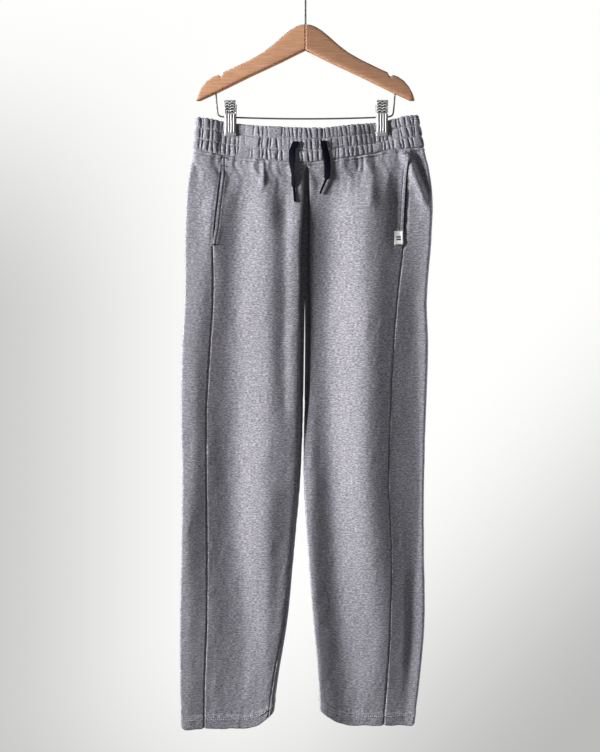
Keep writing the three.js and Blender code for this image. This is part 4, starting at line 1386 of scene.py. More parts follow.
@dataclass
class Waistband:
    """The elastic waistband: three rows of gathers between lines of stitching."""

    finishes: Finishes
    gathers: int = 104
    levels: int = 48
    tiers: int = 3
    tall: float = 58.0
    cut: tuple[float, float] = (0.96, 0.058)
    fine: float = 0.68
    coarse: float = 1.15
    deepest: float = 3.2
    puff: float = 1.3
    thick: float = 3.0
    stitch_sink: float = 0.75
    clip_press: float = 0.95
    seed: int = 7
    flat_places: tuple = (
        (-94, 12, (0.75, 0.8, 0.8)), (-32, 11, (0.1, 0.8, 0.55)), (50, 13, (0.2, 0.5, 0.75)),
    )

    def __post_init__(self) -> None:
        """Lays out the columns, closer together in front, and works out the finished face."""
        turns = np.linspace(-math.pi, math.pi, 4000)
        along = lengths_along(Band.points(turns, 0.3)[:, :2])
        self.length = float(along[-1])
        front = along[len(along) // 2]
        self.s = np.concatenate([np.arange(0, front, self.fine), np.arange(front, self.length, self.coarse)])
        self.turns = np.interp(self.s, along, turns)
        self.heights = np.linspace(0, 1, self.levels + 1)
        grid = np.array([Band.points(self.turns, h) for h in self.heights])
        self.surface = Surface(to_row(grid), wrap=True)
        middle = self.surface.normals[self.levels // 2, np.argmin(np.abs(self.turns + math.pi / 2))]
        if middle[1] > 0:
            self.surface.flip()
        self.out = self._relief()

    def _creases(self) -> list[list[Crease]]:
        """Scatters the creases, mostly in line from row to row.

        Returns:
            the creases of each row, from the seam up.
        """
        rng = np.random.default_rng(self.seed)
        pitch = self.length / self.gathers
        shared = (np.arange(self.gathers) + 0.55 * (rng.random(self.gathers) - 0.5)) * pitch
        rows = []
        for level in range(self.tiers):
            row = []
            for place in shared:
                kept, split, moved, lean, deep, wide, low, high = rng.random(8)
                if kept < 0.07:
                    continue
                place = place + 2.4 * (moved - 0.5)
                top = 1.3 if level == self.tiers - 1 else 1.02 - 0.16 * high
                over = 5 * (lean - 0.5)
                row.append(Crease(place, over, 1.5 + 1.7 * deep, 1.0 + 0.6 * wide, 0.16 * low, top))
                if split < 0.2:
                    beside, over = place + 0.45 * pitch, 5 * (wide - 0.5)
                    row.append(Crease(beside, over, 0.8, 0.8, 0.1 + 0.4 * low, 0.9 - 0.3 * high))
            rows.append(row)
        return rows

    def _held(self) -> Array:
        """How freely the cloth is gathered at each point, from 1 down to 0 where it is pressed flat.

        Returns:
            the freedom of every point.
        """
        x = self.surface.points[..., 0]
        held = np.ones(x.shape)
        for place in CLIP_X.values():
            held *= 1 - self.clip_press * bell(x, place, 11) * smooth(0.42, 0.6, self.heights)[:, None]
        by_row = np.minimum((self.heights * self.tiers).astype(int), self.tiers - 1)
        for middle, width, shares in self.flat_places:
            held *= 1 - np.array(shares)[by_row][:, None] * bell(x, middle, width) * (self.turns < 0)[None, :]
        return held

    def _crease_line(self, row: list[Crease], t: float) -> Array:
        """How deep the creases of a row cut in at one height.

        Args:
            row: the row's creases.
            t: the height in the row, from 0 to 1.

        Returns:
            the depth, below 0, at each column.
        """
        line = np.zeros(len(self.s))
        for crease in row:
            rise = smooth(crease.low - 0.12, crease.low + 0.14, t)
            window = float(rise * (1 - smooth(crease.high - 0.14, crease.high + 0.12, t)))
            if window <= 0:
                continue
            centre = crease.place + crease.lean * (t - 0.5)
            off = np.abs((self.s - centre + self.length / 2) % self.length - self.length / 2)
            line -= crease.deep * (0.35 + 0.65 * window) * np.exp(-off / crease.wide)
        return np.maximum(line, -self.deepest)

    def _relief(self) -> Array:
        """How far the finished face stands out: puffed rows, creases and stitched lines.

        Returns:
            the relief of every point.
        """
        held = self._held()
        out = np.zeros(held.shape)
        rows = self._creases()
        for i, h in enumerate(self.heights):
            row = min(int(h * self.tiers), self.tiers - 1)
            t = h * self.tiers - row
            puff = math.sin(math.pi * t) ** 0.7 if 0 < t < 1 else 0.0
            line = self._crease_line(rows[row], t)
            out[i] = (line * (0.5 + 0.5 * puff) + self.puff * puff) * held[i] - 0.55 * (1 - puff) ** 2
        self.top_notch = line * held[-1]
        stitched = sum(bell(self.heights * self.tall, self.tall * k / self.tiers, 1.0) for k in (1, 2))
        out -= self.stitch_sink * stitched[:, None]
        edge = smooth(0, 0.04, self.heights) * smooth(1, 0.96, self.heights)
        return out + (edge[:, None] - 1) * 1.2

    def line(self, height: float, over: float = 0.0) -> Line:
        """Finds a line round the finished face.

        Args:
            height: its height, from 0 at the seam to 1.
            over: how far it stands over the face.

        Returns:
            the points, and the face's normals there.
        """
        level = height * self.levels
        i = min(int(level), self.levels - 1)
        outer = self.surface.moved(self.out + over)
        return mix(outer[i], outer[i + 1], level - i), self.surface.normals[i]

    def build(self) -> bpy.types.Object:
        """Makes the waistband's closed ring, its top edge dipping into each crease.

        Returns:
            the waistband.
        """
        inner = self.surface.moved(np.full(self.out.shape, -self.thick))
        uvs = np.stack(np.broadcast_arrays(self.s * 1.2, self.heights[:, None] * self.tall), -1) + 2000
        outer = self.surface.moved(self.out)
        for face in (outer, inner):
            face[..., 2] += 0.55 * self.top_notch * smooth(0.93, 1, self.heights)[:, None]
        maker = MeshMaker()
        maker.add_wall(outer, inner, uvs, wrap=True)
        obj = maker.build("waistband", "cloth", Slot.FLEECE, self.finishes.fleece)
        return obj


class StitchNodes:
    """The node group that lays stitches along a line."""

    inputs = (
        ("Geometry", "NodeSocketGeometry", None),
        ("Pitch", "NodeSocketFloat", 0.003),
        ("Length", "NodeSocketFloat", 0.0022),
        ("Width", "NodeSocketFloat", 0.0006),
        ("Turn", "NodeSocketFloat", 0.0),
        ("Seed", "NodeSocketInt", 1),
        ("Material", "NodeSocketMaterial", None),
    )
    segments = 8
    rings = 5
    flatness = 0.8
    jitter = 0.10
    seed = 11

    def __init__(self) -> None:
        """Makes the group with its named inputs and its tree."""
        self.group = bpy.data.node_groups.new("stitch_line", "GeometryNodeTree")
        interface = self.group.interface
        self.ids = {}
        for name, kind, default in self.inputs:
            socket = interface.new_socket(name, in_out="INPUT", socket_type=kind)
            if default is not None:
                socket.default_value = default
            self.ids[name] = socket.identifier
        interface.new_socket("Geometry", in_out="OUTPUT", socket_type="NodeSocketGeometry")
        self._tree()

    def _tree(self) -> None:
        """Links the nodes: points along the line, a small turned capsule on each, then its material."""
        start, end = self._node("NodeGroupInput").outputs, self._node("NodeGroupOutput")
        curve = self._node("GeometryNodeMeshToCurve")
        resample = self._node("GeometryNodeResampleCurve", mode="LENGTH")
        kept = {"Name": "stitch_normal"}
        normal = self._node("GeometryNodeInputNamedAttribute", kept, data_type="FLOAT_VECTOR")
        tangent = self._node("GeometryNodeInputTangent")
        aim = self._node("FunctionNodeAlignRotationToVector", axis="Z")
        spin = self._node("FunctionNodeAlignRotationToVector", axis="X", pivot_axis="Z")
        shape = {"Segments": self.segments, "Rings": self.rings, "Radius": 0.5}
        capsule = self._node("GeometryNodeMeshUVSphere", shape)
        size = self._node("ShaderNodeCombineXYZ")
        thick = self._node("ShaderNodeMath", {1: self.flatness}, operation="MULTIPLY")
        rotate = self._node("FunctionNodeRotateRotation", rotation_space="LOCAL")
        turn = self._node("FunctionNodeAxisAngleToRotation")
        jitter = self._node("FunctionNodeRandomValue", {2: -self.jitter, 3: self.jitter}, data_type="FLOAT")
        total = self._node("ShaderNodeMath")
        instance = self._node("GeometryNodeInstanceOnPoints")
        realize = self._node("GeometryNodeRealizeInstances")
        paint = self._node("GeometryNodeSetMaterial")
        for output, socket in (
            (start["Geometry"], curve.inputs[0]),
            (curve.outputs[0], resample.inputs["Curve"]),
            (start["Pitch"], resample.inputs["Length"]),
            (resample.outputs[0], instance.inputs["Points"]),
            (capsule.outputs[0], instance.inputs["Instance"]),
            (normal.outputs[0], aim.inputs["Vector"]),
            (aim.outputs[0], spin.inputs["Rotation"]),
            (tangent.outputs[0], spin.inputs["Vector"]),
            (start["Seed"], jitter.inputs["Seed"]),
            (jitter.outputs[1], total.inputs[0]),
            (start["Turn"], total.inputs[1]),
            (total.outputs[0], turn.inputs["Angle"]),
            (spin.outputs[0], rotate.inputs["Rotation"]),
            (turn.outputs[0], rotate.inputs["Rotate By"]),
            (rotate.outputs[0], instance.inputs["Rotation"]),
            (start["Length"], size.inputs["X"]),
            (start["Width"], size.inputs["Y"]),
            (start["Width"], thick.inputs[0]),
            (thick.outputs[0], size.inputs["Z"]),
            (size.outputs[0], instance.inputs["Scale"]),
            (instance.outputs[0], realize.inputs[0]),
            (realize.outputs[0], paint.inputs["Geometry"]),
            (start["Material"], paint.inputs["Material"]),
            (paint.outputs[0], end.inputs[0]),
        ):
            self.group.links.new(output, socket)

    def _node(self, kind: str, inputs: dict | None = None, **settings: object) -> bpy.types.Node:
        """Makes one node of the tree.

        Args:
            kind: its type.
            inputs: values by input name or place.
            settings: its properties.

        Returns:
            the node.
        """
        made = self.group.nodes.new(kind)
        for key, value in settings.items():
            setattr(made, key, value)
        for key, value in (inputs or {}).items():
            made.inputs[key].default_value = value
        return made

    def sew(
        self, name: str, lines: Sequence[Line], material: bpy.types.Material, **sizes: float
    ) -> bpy.types.Object:
        """Lays stitches along lines of points in mm with their normals.

        Args:
            name: the piece's name.
            lines: points and normals of each line.
            material: the thread.
            sizes: the group's inputs by name, in metres.

        Returns:
            the stitches as one mesh object.
        """
        obj = self._guide(name + "_line", lines)
        modifier = obj.modifiers.new("stitches", "NODES")
        modifier.node_group = self.group
        for key, value in {**sizes, "Material": material, "Seed": self.seed}.items():
            modifier[self.ids[key]] = value
        bpy.context.view_layer.update()
        evaluated = obj.evaluated_get(bpy.context.evaluated_depsgraph_get())
        made = bpy.data.meshes.new_from_object(evaluated)
        made.name = name
        bpy.data.objects.remove(obj)
        made.polygons.foreach_set("use_smooth", np.full(len(made.polygons), True))
        if not made.materials:
            made.materials.append(material)
        result = add_object(name, made)
        log.info("%s: %d faces", name, len(made.polygons))
        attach(result, "root")
        return result

    @staticmethod
    def _guide(name: str, lines: Sequence[Line]) -> bpy.types.Object:
        """Makes the edges that stitches follow, with the cloth's normals kept on their points.

        Args:
            name: the object's name.
            lines: points and normals of each line.

        Returns:
            the edges as one object.
        """
        points, edges, normals = [], [], []
        for line, out in lines:
            first = len(points)
            points.extend((line * MM).tolist())
            normals.extend(out.tolist())
            edges.extend([(first + i, first + i + 1) for i in range(len(line) - 1)])
        mesh = bpy.data.meshes.new(name)
        mesh.from_pydata(points, edges, [])
        attribute = mesh.attributes.new("stitch_normal", "FLOAT_VECTOR", "POINT")
        attribute.data.foreach_set("vector", np.array(normals, np.float32).ravel())
        return add_object(name, mesh)


Panels = dict[tuple[Side, Face], Panel]


@dataclass
class Sewing:
    """Every sewn line: topstitching, hems, band rows and bar tacks."""

    panels: Panels
    band: Waistband
    finishes: Finishes
    fine: float = 0.0006
    hem_wide: float = 0.0013
    tack_wide: float = 0.0008
    tack_turn: float = 1.45
    tack_reach: tuple[float, float] = (-0.6, 9.0)
    tack_points: int = 14
    pocket_points: int = 60

    def build(self) -> None:
        """Lays all the stitches."""
        nodes = StitchNodes()
        thread = self.finishes.thread
        every = list(self.panels.values())
        fronts = [panel for panel in every if panel.kind is Face.FRONT]
        rows = [self.band.line(k / self.band.tiers, 0.15) for k in (1, 2)]
        closed = [(np.vstack([p, p[:1]]), np.vstack([n, n[:1]])) for p, n in rows]
        hems = [self._across(panel, drop) for panel in every for drop in (HEM.line, HEM.line + HEM.row_gap)]
        tops = [self._across(panel, WAIST_STITCH_DROP) for panel in every]
        drops = np.linspace(POCKET.start, POCKET.end, self.pocket_points)
        pockets = [panel.point(drops, np.full(len(drops), POCKET.hem), 0.1) for panel in fronts]
        tacks = [self._tack(panel, drop) for panel in fronts for drop in TACKS[panel.side]]
        nodes.sew("stitch_band", closed, thread, Pitch=0.0032, Length=0.0025, Width=self.fine, Turn=0.0)
        pale = self.finishes.thread_pale
        nodes.sew("stitch_hem", hems, pale, Pitch=0.0031, Length=0.0028, Width=self.hem_wide, Turn=0.0)
        for name, lines in (("stitch_waist", tops), ("stitch_pocket", pockets)):
            nodes.sew(name, lines, thread, Pitch=0.0031, Length=0.0023, Width=self.fine, Turn=0.0)
        dark = self.finishes.thread_dark
        wide, turn = self.tack_wide, self.tack_turn
        nodes.sew("bar_tacks", tacks, dark, Pitch=0.0006, Length=0.0026, Width=wide, Turn=turn)

    @staticmethod
    def _across(panel: Panel, drop: float) -> Line:
        """Finds a line across a panel, from seam to seam.

        Args:
            panel: the panel.
            drop: the line's drop below the waist seam.

        Returns:
            its points and normals.
        """
        length = float(np.interp(drop, panel.drops, panel.lengths))
        count = int(length / 2.5)
        return panel.point(np.full(count, drop), np.linspace(0.4, length - 0.4, count), 0.12)

    def _tack(self, panel: Panel, drop: float) -> Line:
        """The line of one bar tack, from the side seam inward."""
        arcs = np.maximum(np.linspace(*self.tack_reach, self.tack_points), 0.1)
        return panel.point(np.full(self.tack_points, drop), arcs, 0.35)


def column_grid(columns: list[Line]) -> tuple[Array, Array]:
    """The points and normals of several columns as two grids."""
    return np.stack([points for points, _ in columns], 1), np.stack([normals for _, normals in columns], 1)


@dataclass
class Pockets:
    """The layers behind the pocket slits, in a darker copy of the fleece as painted shade."""

    panels: Panels
    finishes: Finishes
    rows: int = 60
    top: float = 3.0
    foot: float = 150.0
    front_arcs: tuple = (15, 11, 8, 5, 3, 1.5, 0.3)
    back_arcs: tuple = (0.3, 2, 4, 7, 10)
    behind: tuple[float, float] = (4.2, 5.4)

    def build(self) -> None:
        """Makes both layers."""
        drops = np.linspace(self.top, self.foot, self.rows)
        for side in Side:
            front, back = self.panels[side, Face.FRONT], self.panels[side, Face.BACK]
            columns = [front.point(drops, np.full(self.rows, arc)) for arc in self.front_arcs]
            columns += [back.point(drops, np.full(self.rows, arc)) for arc in self.back_arcs]
            points, normals = column_grid(columns)
            near, far = (points - normals * depth for depth in self.behind)
            uvs = np.stack(np.broadcast_arrays(np.arange(len(columns)) * 3.0, drops[:, None]), -1) + 3000
            maker = MeshMaker()
            maker.add_wall(near, far, uvs)
            # Painted shade: the pocket layers take the darkened copy of the fleece
            maker.build(f"pocket_{side}", "cloth", Slot.FLEECE, self.finishes.painted_shade_fleece)


@dataclass
class Label:
    """The small woven label beside the right pocket."""

    panels: Panels
    finishes: Finishes
    from_edge: float = 1.0
    wide: float = 14.0
    top: float = 113.5
    foot: float = 132.5
    rows: int = 16
    columns: int = 13
    stand_off: tuple[float, float] = (1.0, 0.25)
    end_stand_off: float = 0.75

    def build(self) -> None:
        """Makes the label."""
        panel = self.panels[Side.RIGHT, Face.FRONT]
        drops = np.linspace(self.top, self.foot, self.rows)
        steps = range(self.columns)
        arcs = [self.from_edge + self.wide * k / (self.columns - 1) for k in steps]
        points, normals = column_grid([panel.point(drops, np.full(self.rows, arc)) for arc in arcs])
        out = np.full((self.rows, self.columns), self.stand_off[0])
        out[0, :] = out[-1, :] = self.end_stand_off
        across = np.linspace(0, self.wide, self.columns)[None, :]
        uvs = np.stack(np.broadcast_arrays(across, (drops - self.top)[:, None]), -1)
        maker = MeshMaker()
        maker.add_wall(points + normals * out[..., None], points + normals * self.stand_off[1], uvs)
        obj = maker.build("label", "cloth", Slot.LABEL, self.finishes.label)
        self.wide * MM


def smooth_path(points: Array, count: int) -> Array:
    """Draws a smooth line through points.

    Args:
        points: the points that it passes.
        count: how many points it gets.

    Returns:
        the line's points, evenly spaced by length.
    """
    points = np.asarray(points, float)
    steps = np.concatenate([[0], np.cumsum(np.sqrt(np.linalg.norm(np.diff(points, axis=0), axis=1)))])
    fine = np.linspace(0, steps[-1], count * 12)
    dense = np.stack([Spline(steps, points[:, k])(fine) for k in range(3)], -1)
    along = lengths_along(dense)
    even = np.linspace(0, along[-1], count)
    return np.stack([np.interp(even, along, dense[:, k]) for k in range(3)], -1)


def squared(count: int, across: float, through: float) -> tuple[Array, Array]:
    """A ring of the size 1 with squared corners.

    Args:
        count: points round it.
        across: how round it is across, from 0 for square to 1 for round.
        through: how round it is the other way.

    Returns:
        the points' two coordinates.
    """
    turns = (np.arange(count) + 0.5) / count * 2 * math.pi
    c, s = np.cos(turns), np.sin(turns)
    return np.sign(c) * np.abs(c) ** across, np.sign(s) * np.abs(s) ** through


@dataclass
class Drawcord:
    """One end of the flat drawcord with its metal tip."""

    side: Side
    finishes: Finishes
    wide: float = 10.0
    thick: float = 1.8
    steps: int = 90
    sides: int = 20
    end_wide: float = 3.0
    end_thick: float = 2.4
    tip_long: float = 23.4
    tip_lap: float = 1.2
    tip_shares: tuple = (0, 0.02, 0.06, 0.5, 0.92, 0.97, 1.0)
    tip_radii: tuple = (1.7, 1.85, 1.85, 1.7, 1.55, 1.4, 1.0)

    def build(self) -> None:
        """Makes the cord and its tip."""
        route = CORD_ROUTES[self.side]
        knots = np.array([(x, front_y(x, z) - clear, z) for x, z, clear, _ in route])
        path = smooth_path(to_row(knots), self.steps)
        twists = np.radians(np.interp(-path[:, 2], [-r[1] for r in route], [r[3] for r in route]))
        length = float(np.linalg.norm(np.diff(path, axis=0), axis=1).sum())
        maker = MeshMaker()
        maker.add_loft(*self._rings(path, twists, length))
        obj = maker.build(f"cord_{self.side}", "braid", Slot.DRAWCORD, self.finishes.braid)
        tip = self._tip(path[-1])
        self.wide * MM
        log.info("cord_%s: %.1f mm long", self.side, length)

    def _rings(self, path: Array, twists: Array, length: float) -> tuple[Array, Array]:
        """Lays the cord's sections along its path; near its end it narrows into the tip.

        Args:
            path: points of the cord's middle.
            twists: how far it is turned about itself at each point.
            length: its whole length.

        Returns:
            the sections' points and their cloth coordinates.
        """
        along = np.gradient(path, axis=0)
        along /= np.linalg.norm(along, axis=1, keepdims=True)
        c, s = squared(self.sides, 0.6, 0.8)
        rings, uvs = [], []
        for point, tangent, twist, share in zip(path, along, twists, np.linspace(0, 1, self.steps)):
            narrow = smooth(0.88, 1, share)
            wide = mix(self.wide, self.end_wide, narrow) / 2
            thick = mix(self.thick, self.end_thick, narrow) / 2
            across = np.array([1.0, 0, 0]) - tangent * tangent[0]
            across /= np.linalg.norm(across)
            out = np.cross(tangent, across)
            a = across * math.cos(twist) + out * math.sin(twist)
            b = np.cross(tangent, a)
            rings.append(point + wide * c[:, None] * a + thick * s[:, None] * b)
            uvs.append(np.stack([wide * c, np.full(self.sides, share * length)], -1))
        return np.array(rings), np.array(uvs)

    def _tip(self, start: Array) -> bpy.types.Object:
        """Makes the metal tip below the cord.

        Args:
            start: the cord's end.

        Returns:
            the tip.
        """
        x, z, clear = TIP_ENDS[self.side]
        end = to_row(np.array([x, front_y(x, z) - clear, z]))
        along = (end - start) / np.linalg.norm(end - start)
        first = start - along * self.tip_lap
        path = first + along * (np.array(self.tip_shares) * self.tip_long)[:, None]
        maker = MeshMaker()
        maker.add_tube(path, np.array(self.tip_radii), 16)
        return maker.build(f"cord_tip_{self.side}", "metal", Slot.CORD_TIP, self.finishes.dark_steel)


@dataclass
class Hanger:
    """The wooden hanger with its steel hook and bar."""

    finishes: Finishes
    thick: float = 12.0
    sweep: float = 4.0
    reach: float = 175.0
    arm_sides: int = 48
    squareness: float = 0.38
    bar_radius: float = 1.3
    bar_drop: float = 98.0
    bar_corner: float = 7.0
    bar_root: float = 143.5
    hook_seat: float = 20.0
    hook_end: float = 195.0

    def bar_height(self, x: Array | float) -> Array | float:
        """The bar's height, a little bowed."""
        return BAR_Z - BAR_BOW * (1 - (x / BAR_REACH) ** 2)

    def build(self) -> None:
        """Makes the arms, hook and bar."""
        for side, sign in ((Side.LEFT, -1), (Side.RIGHT, 1)):
            self._arm(side, sign)
        hook = smooth_path(self._hook_knots(), 150), HOOK_WIRE, 20
        bar = smooth_path(self._bar_knots(), 220), self.bar_radius, 16
        for name, wire in (("hook", hook), ("bar", bar)):
            maker = MeshMaker()
            maker.add_tube(*wire)
            maker.build(name, "steel", Slot.STEEL, self.finishes.wire_steel)

    def _arm(self, side: Side, sign: int) -> None:
        """Makes one wooden arm, swept back a little and rounded off at its tip.

        Args:
            side: which arm.
            sign: 1 towards the right and -1 towards the left.
        """
        top_x, top_z = np.array(ARM_TOP, float).T
        foot_x, foot_z = np.array(ARM_FOOT, float).T
        parts = ((0, 131, 60), (131, 142, 23), (142, 170, 20), (170, self.reach, 9))
        c, s = squared(self.arm_sides, self.squareness, self.squareness)
        rings = []
        for x in np.unique(np.concatenate([np.linspace(*part) for part in parts])):
            high, low = np.interp(x, top_x, top_z), np.interp(x, foot_x, foot_z)
            tip = math.sqrt(max(0.02, 1 - max(0, (x - 168) / 7.2) ** 2))
            middle, tall = (high + low) / 2, (high - low) / 2 * mix(0.6, 1, tip)
            wide = self.thick / 2 * mix(0.45, 1, tip)
            ring = np.stack([np.full(self.arm_sides, sign * (x + 0.05)), wide * c, middle + tall * s], -1)
            ring[:, 1] += x * math.tan(math.radians(self.sweep))
            ring[:, 2] += ARM_TOP_Z
            rings.append(ring)
        maker = MeshMaker()
        maker.add_loft(np.array(rings))
        maker.build(f"arm_{side}", "wood", Slot.WOOD, self.finishes.wood[side])

    def _hook_knots(self) -> Array:
        """The hook's line: up out of the wood, out to one side and round over the rail.

        Returns:
            points of its centreline.
        """
        r = HOOK_RADIUS
        stem = ARM_TOP_Z + HOOK_STEM
        centre = stem + 2 * r * math.sin(HOOK_TURN)
        points = [(0, 0, ARM_TOP_Z - self.hook_seat), (0, 0, ARM_TOP_Z), (0, 0, stem - 12), (0, 0, stem)]
        for share in (0.35, 0.7):
            angle = HOOK_TURN * share
            points.append((r * (1 - math.cos(angle)), 0, stem + r * math.sin(angle)))
        for k in range(15):
            angle = mix(-HOOK_TURN, math.radians(self.hook_end), k / 14)
            points.append((r * math.cos(angle), 0, centre + r * math.sin(angle)))
        return np.array(points)

    def _bar_knots(self) -> Array:
        """The bar's line: down from one arm, round a corner, across and up to the other.

        Returns:
            points of its centreline.
        """
        top, low, corner = ARM_TOP_Z - self.bar_drop, float(self.bar_height(BAR_REACH)), self.bar_corner
        half = [
            (self.bar_root, top), (self.bar_root, top - 10), (BAR_REACH, low + corner),
            (BAR_REACH - corner * 0.3, low + corner * 0.3), (BAR_REACH - corner, low),
        ]
        middle = [(x, float(self.bar_height(x))) for x in (-120, -90, -45, 0, 45, 90, 120)]
        knots = [(-x, z) for x, z in half] + middle + half[::-1]
        return np.array([(x, GARMENT_Y, z) for x, z in knots])


@dataclass
class Clip:
    """One sprung clip: ribbed front and back plates and a spring coil round the bar."""

    side: Side
    hanger: Hanger
    finishes: Finishes
    wide: float = 18.0
    tall: float = 58.0
    above_bar: float = 27.0
    plate: float = 1.2
    ribs: int = 4
    rib_radius: float = 1.3
    rim_radius: float = 0.75
    lip_radius: float = 1.45
    edge_radius: float = 0.95
    scale_radius: float = 0.78
    scale_rows: int = 4
    grip_from: float = 5.5
    coil_radius: float = 3.9
    coil_wire: float = 0.65
    coil_turns: float = 6.5
    coil_half: float = 6.0
    coil_points: int = 230

    def build(self) -> None:
        """Makes the clip's three pieces."""
        self.x = CLIP_X[self.side]
        self.bar_z = float(self.hanger.bar_height(self.x))
        self.line = self._profile()
        for face, self.facing in ((Face.FRONT, -1), (Face.BACK, 1)):
            self.maker = MeshMaker()
            self._plate()
            self._ribs()
            self._scales()
            self._finish(face)
        turns = np.linspace(0, FULL_TURN * self.coil_turns, self.coil_points)
        across = self.x + np.linspace(-self.coil_half, self.coil_half, self.coil_points)
        y, z = GARMENT_Y + self.coil_radius * np.cos(turns), self.bar_z + self.coil_radius * np.sin(turns)
        self.maker = MeshMaker()
        self.maker.add_tube(np.stack([across, y, z], -1), self.coil_wire, 8)
        self._finish("spring")

    def _profile(self) -> Array:
        """The plate's profile from foot to top.

        Returns:
            its stand-off and height, point by point.
        """
        grip = float(Band.depth(self.x)) + 0.2
        at_bar = 4.9
        foot = self.bar_z + self.above_bar - self.tall
        knots = [
            (grip + 0.5, foot), (grip + 0.5, foot + 3.2), (grip + 1.5, foot + 5.2), (at_bar, self.bar_z - 6),
            (at_bar, self.bar_z + 3), (at_bar + 3.2, self.bar_z + 13), (at_bar + 6, self.bar_z + 23.5),
        ]
        y, z = np.array(knots).T
        heights = np.linspace(z[0], z[-1], 44)
        return np.stack([np.interp(heights, z, y), heights], -1)

    def _grid(self, across: Array, line: Array, out: float) -> Array:
        """Points of the plate, moved out.

        Args:
            across: places across the plate.
            line: the profile, or a part of it.
            out: how far the points stand over it.

        Returns:
            the points in rows and columns.
        """
        slope = np.gradient(line, axis=0)
        normal = np.stack([slope[:, 1], -slope[:, 0]], -1)
        normal /= np.linalg.norm(normal, axis=1, keepdims=True)
        moved = line + normal * out
        back, up = (GARMENT_Y + self.facing * moved[:, 0])[:, None], moved[:, 1][:, None]
        return np.stack(np.broadcast_arrays(self.x + across[None, :], back, up), -1)

    def _width(self, count: int) -> Array:
        """Places across the whole plate."""
        return np.linspace(-self.wide / 2, self.wide / 2, count)

    def _plate(self) -> None:
        """Adds the bent strip: plain steel below, and under the finger grip a darker steel that paints the
        shade of its recess.
        """
        split = int(np.searchsorted(self.line[:, 1], self.bar_z + self.grip_from))
        for paint, part in ((0, self.line[:split + 1]), (1, self.line[split:])):
            self.maker.paint = paint
            outer, inner = (self._grid(self._width(9), part, out) for out in (self.plate, 0.0))
            self.maker.add_wall(outer, inner)
        self.maker.paint = 0

    def _ribs(self) -> None:
        """Adds the upright ribs, a rim down each side and the lip that bites the band."""
        line = self.line
        body = line[(line[:, 1] > line[0, 1] + 4.5) & (line[:, 1] < self.bar_z + self.grip_from)]
        pitch = (self.wide - 1.6) / self.ribs
        for k in range(self.ribs):
            offset = (k - (self.ribs - 1) / 2) * pitch
            path = self._grid(np.array([offset]), body, self.plate + 0.3)[:, 0]
            self.maker.add_tube(path, self.rib_radius, 10)
        for edge in (-1, 1):
            path = self._grid(np.array([edge * (self.wide / 2 - 0.3)]), line[1:], self.plate * 0.7)[:, 0]
            self.maker.add_tube(path, self.rim_radius, 8)
        foot = line[3:4].repeat(2, 0) + [[0, 0], [0, 0.01]]
        self.maker.add_tube(self._grid(self._width(12), foot, self.plate + 0.3)[0], self.lip_radius, 12)

    def _scales(self) -> None:
        """Adds small arched ridges on the finger grip, in two columns, in a paler steel as painted highlight,
        and its rolled top edge.
        """
        line = self.line
        turns = np.linspace(0.1, math.pi - 0.1, 13)
        # Painted highlight: the arched ridges take the paler steel
        self.maker.paint = 2
        for row in range(self.scale_rows):
            zs = self.bar_z + 6.4 + row * 4.1 + 2.6 * np.sin(turns)
            ys = np.interp(zs, line[:, 1], line[:, 0]) + self.plate + 0.35
            for column in (-1, 1):
                xs = self.x + (column * 3.9 + 3.2 * np.cos(turns))
                path = np.stack([xs, GARMENT_Y + self.facing * ys, zs], -1)
                self.maker.add_tube(path, self.scale_radius, 8)
        self.maker.paint = 0
        edge = self._grid(self._width(12), line[-2:], self.plate * 0.5)
        self.maker.add_tube(edge[-1], self.edge_radius, 10)

    def _finish(self, part: str) -> None:
        """Builds one piece of the clip in its three steels: plain, a darker copy as painted shade and a paler
        copy as painted highlight.
        """
        steels = self.finishes.steel, self.finishes.grip_shade_steel, self.finishes.pale_steel
        self.maker.build(f"clip_{self.side}_{part}", "steel", Slot.STEEL, *steels)


@dataclass(frozen=True)
class Lamp:
    """A soft round light aimed at the garment's middle; azimuth 0 is at the camera."""

    name: str
    azimuth: float
    elevation: float
    distance: float
    size: float
    power: float
    spread: float = 180
    colour: Colour = (1.0, 0.985, 0.96)
    target: Colour = (0, 0.01, -0.62)

    def build(self) -> None:
        """Makes the light."""
        data = bpy.data.lights.new(self.name, "AREA")
        data.spread = math.radians(self.spread)
        data.shape, data.size, data.energy = "DISK", self.size, self.power
        data.color = self.colour
        a, e = math.radians(self.azimuth), math.radians(self.elevation)
        back = Vector((math.sin(a) * math.cos(e), -math.cos(a) * math.cos(e), math.sin(e)))
        obj = add_object(self.name, data)
        obj.location = Vector(self.target) + back * self.distance
        obj.rotation_mode = "QUATERNION"
        obj.rotation_quaternion = (-back).to_track_quat("-Z", "Y")


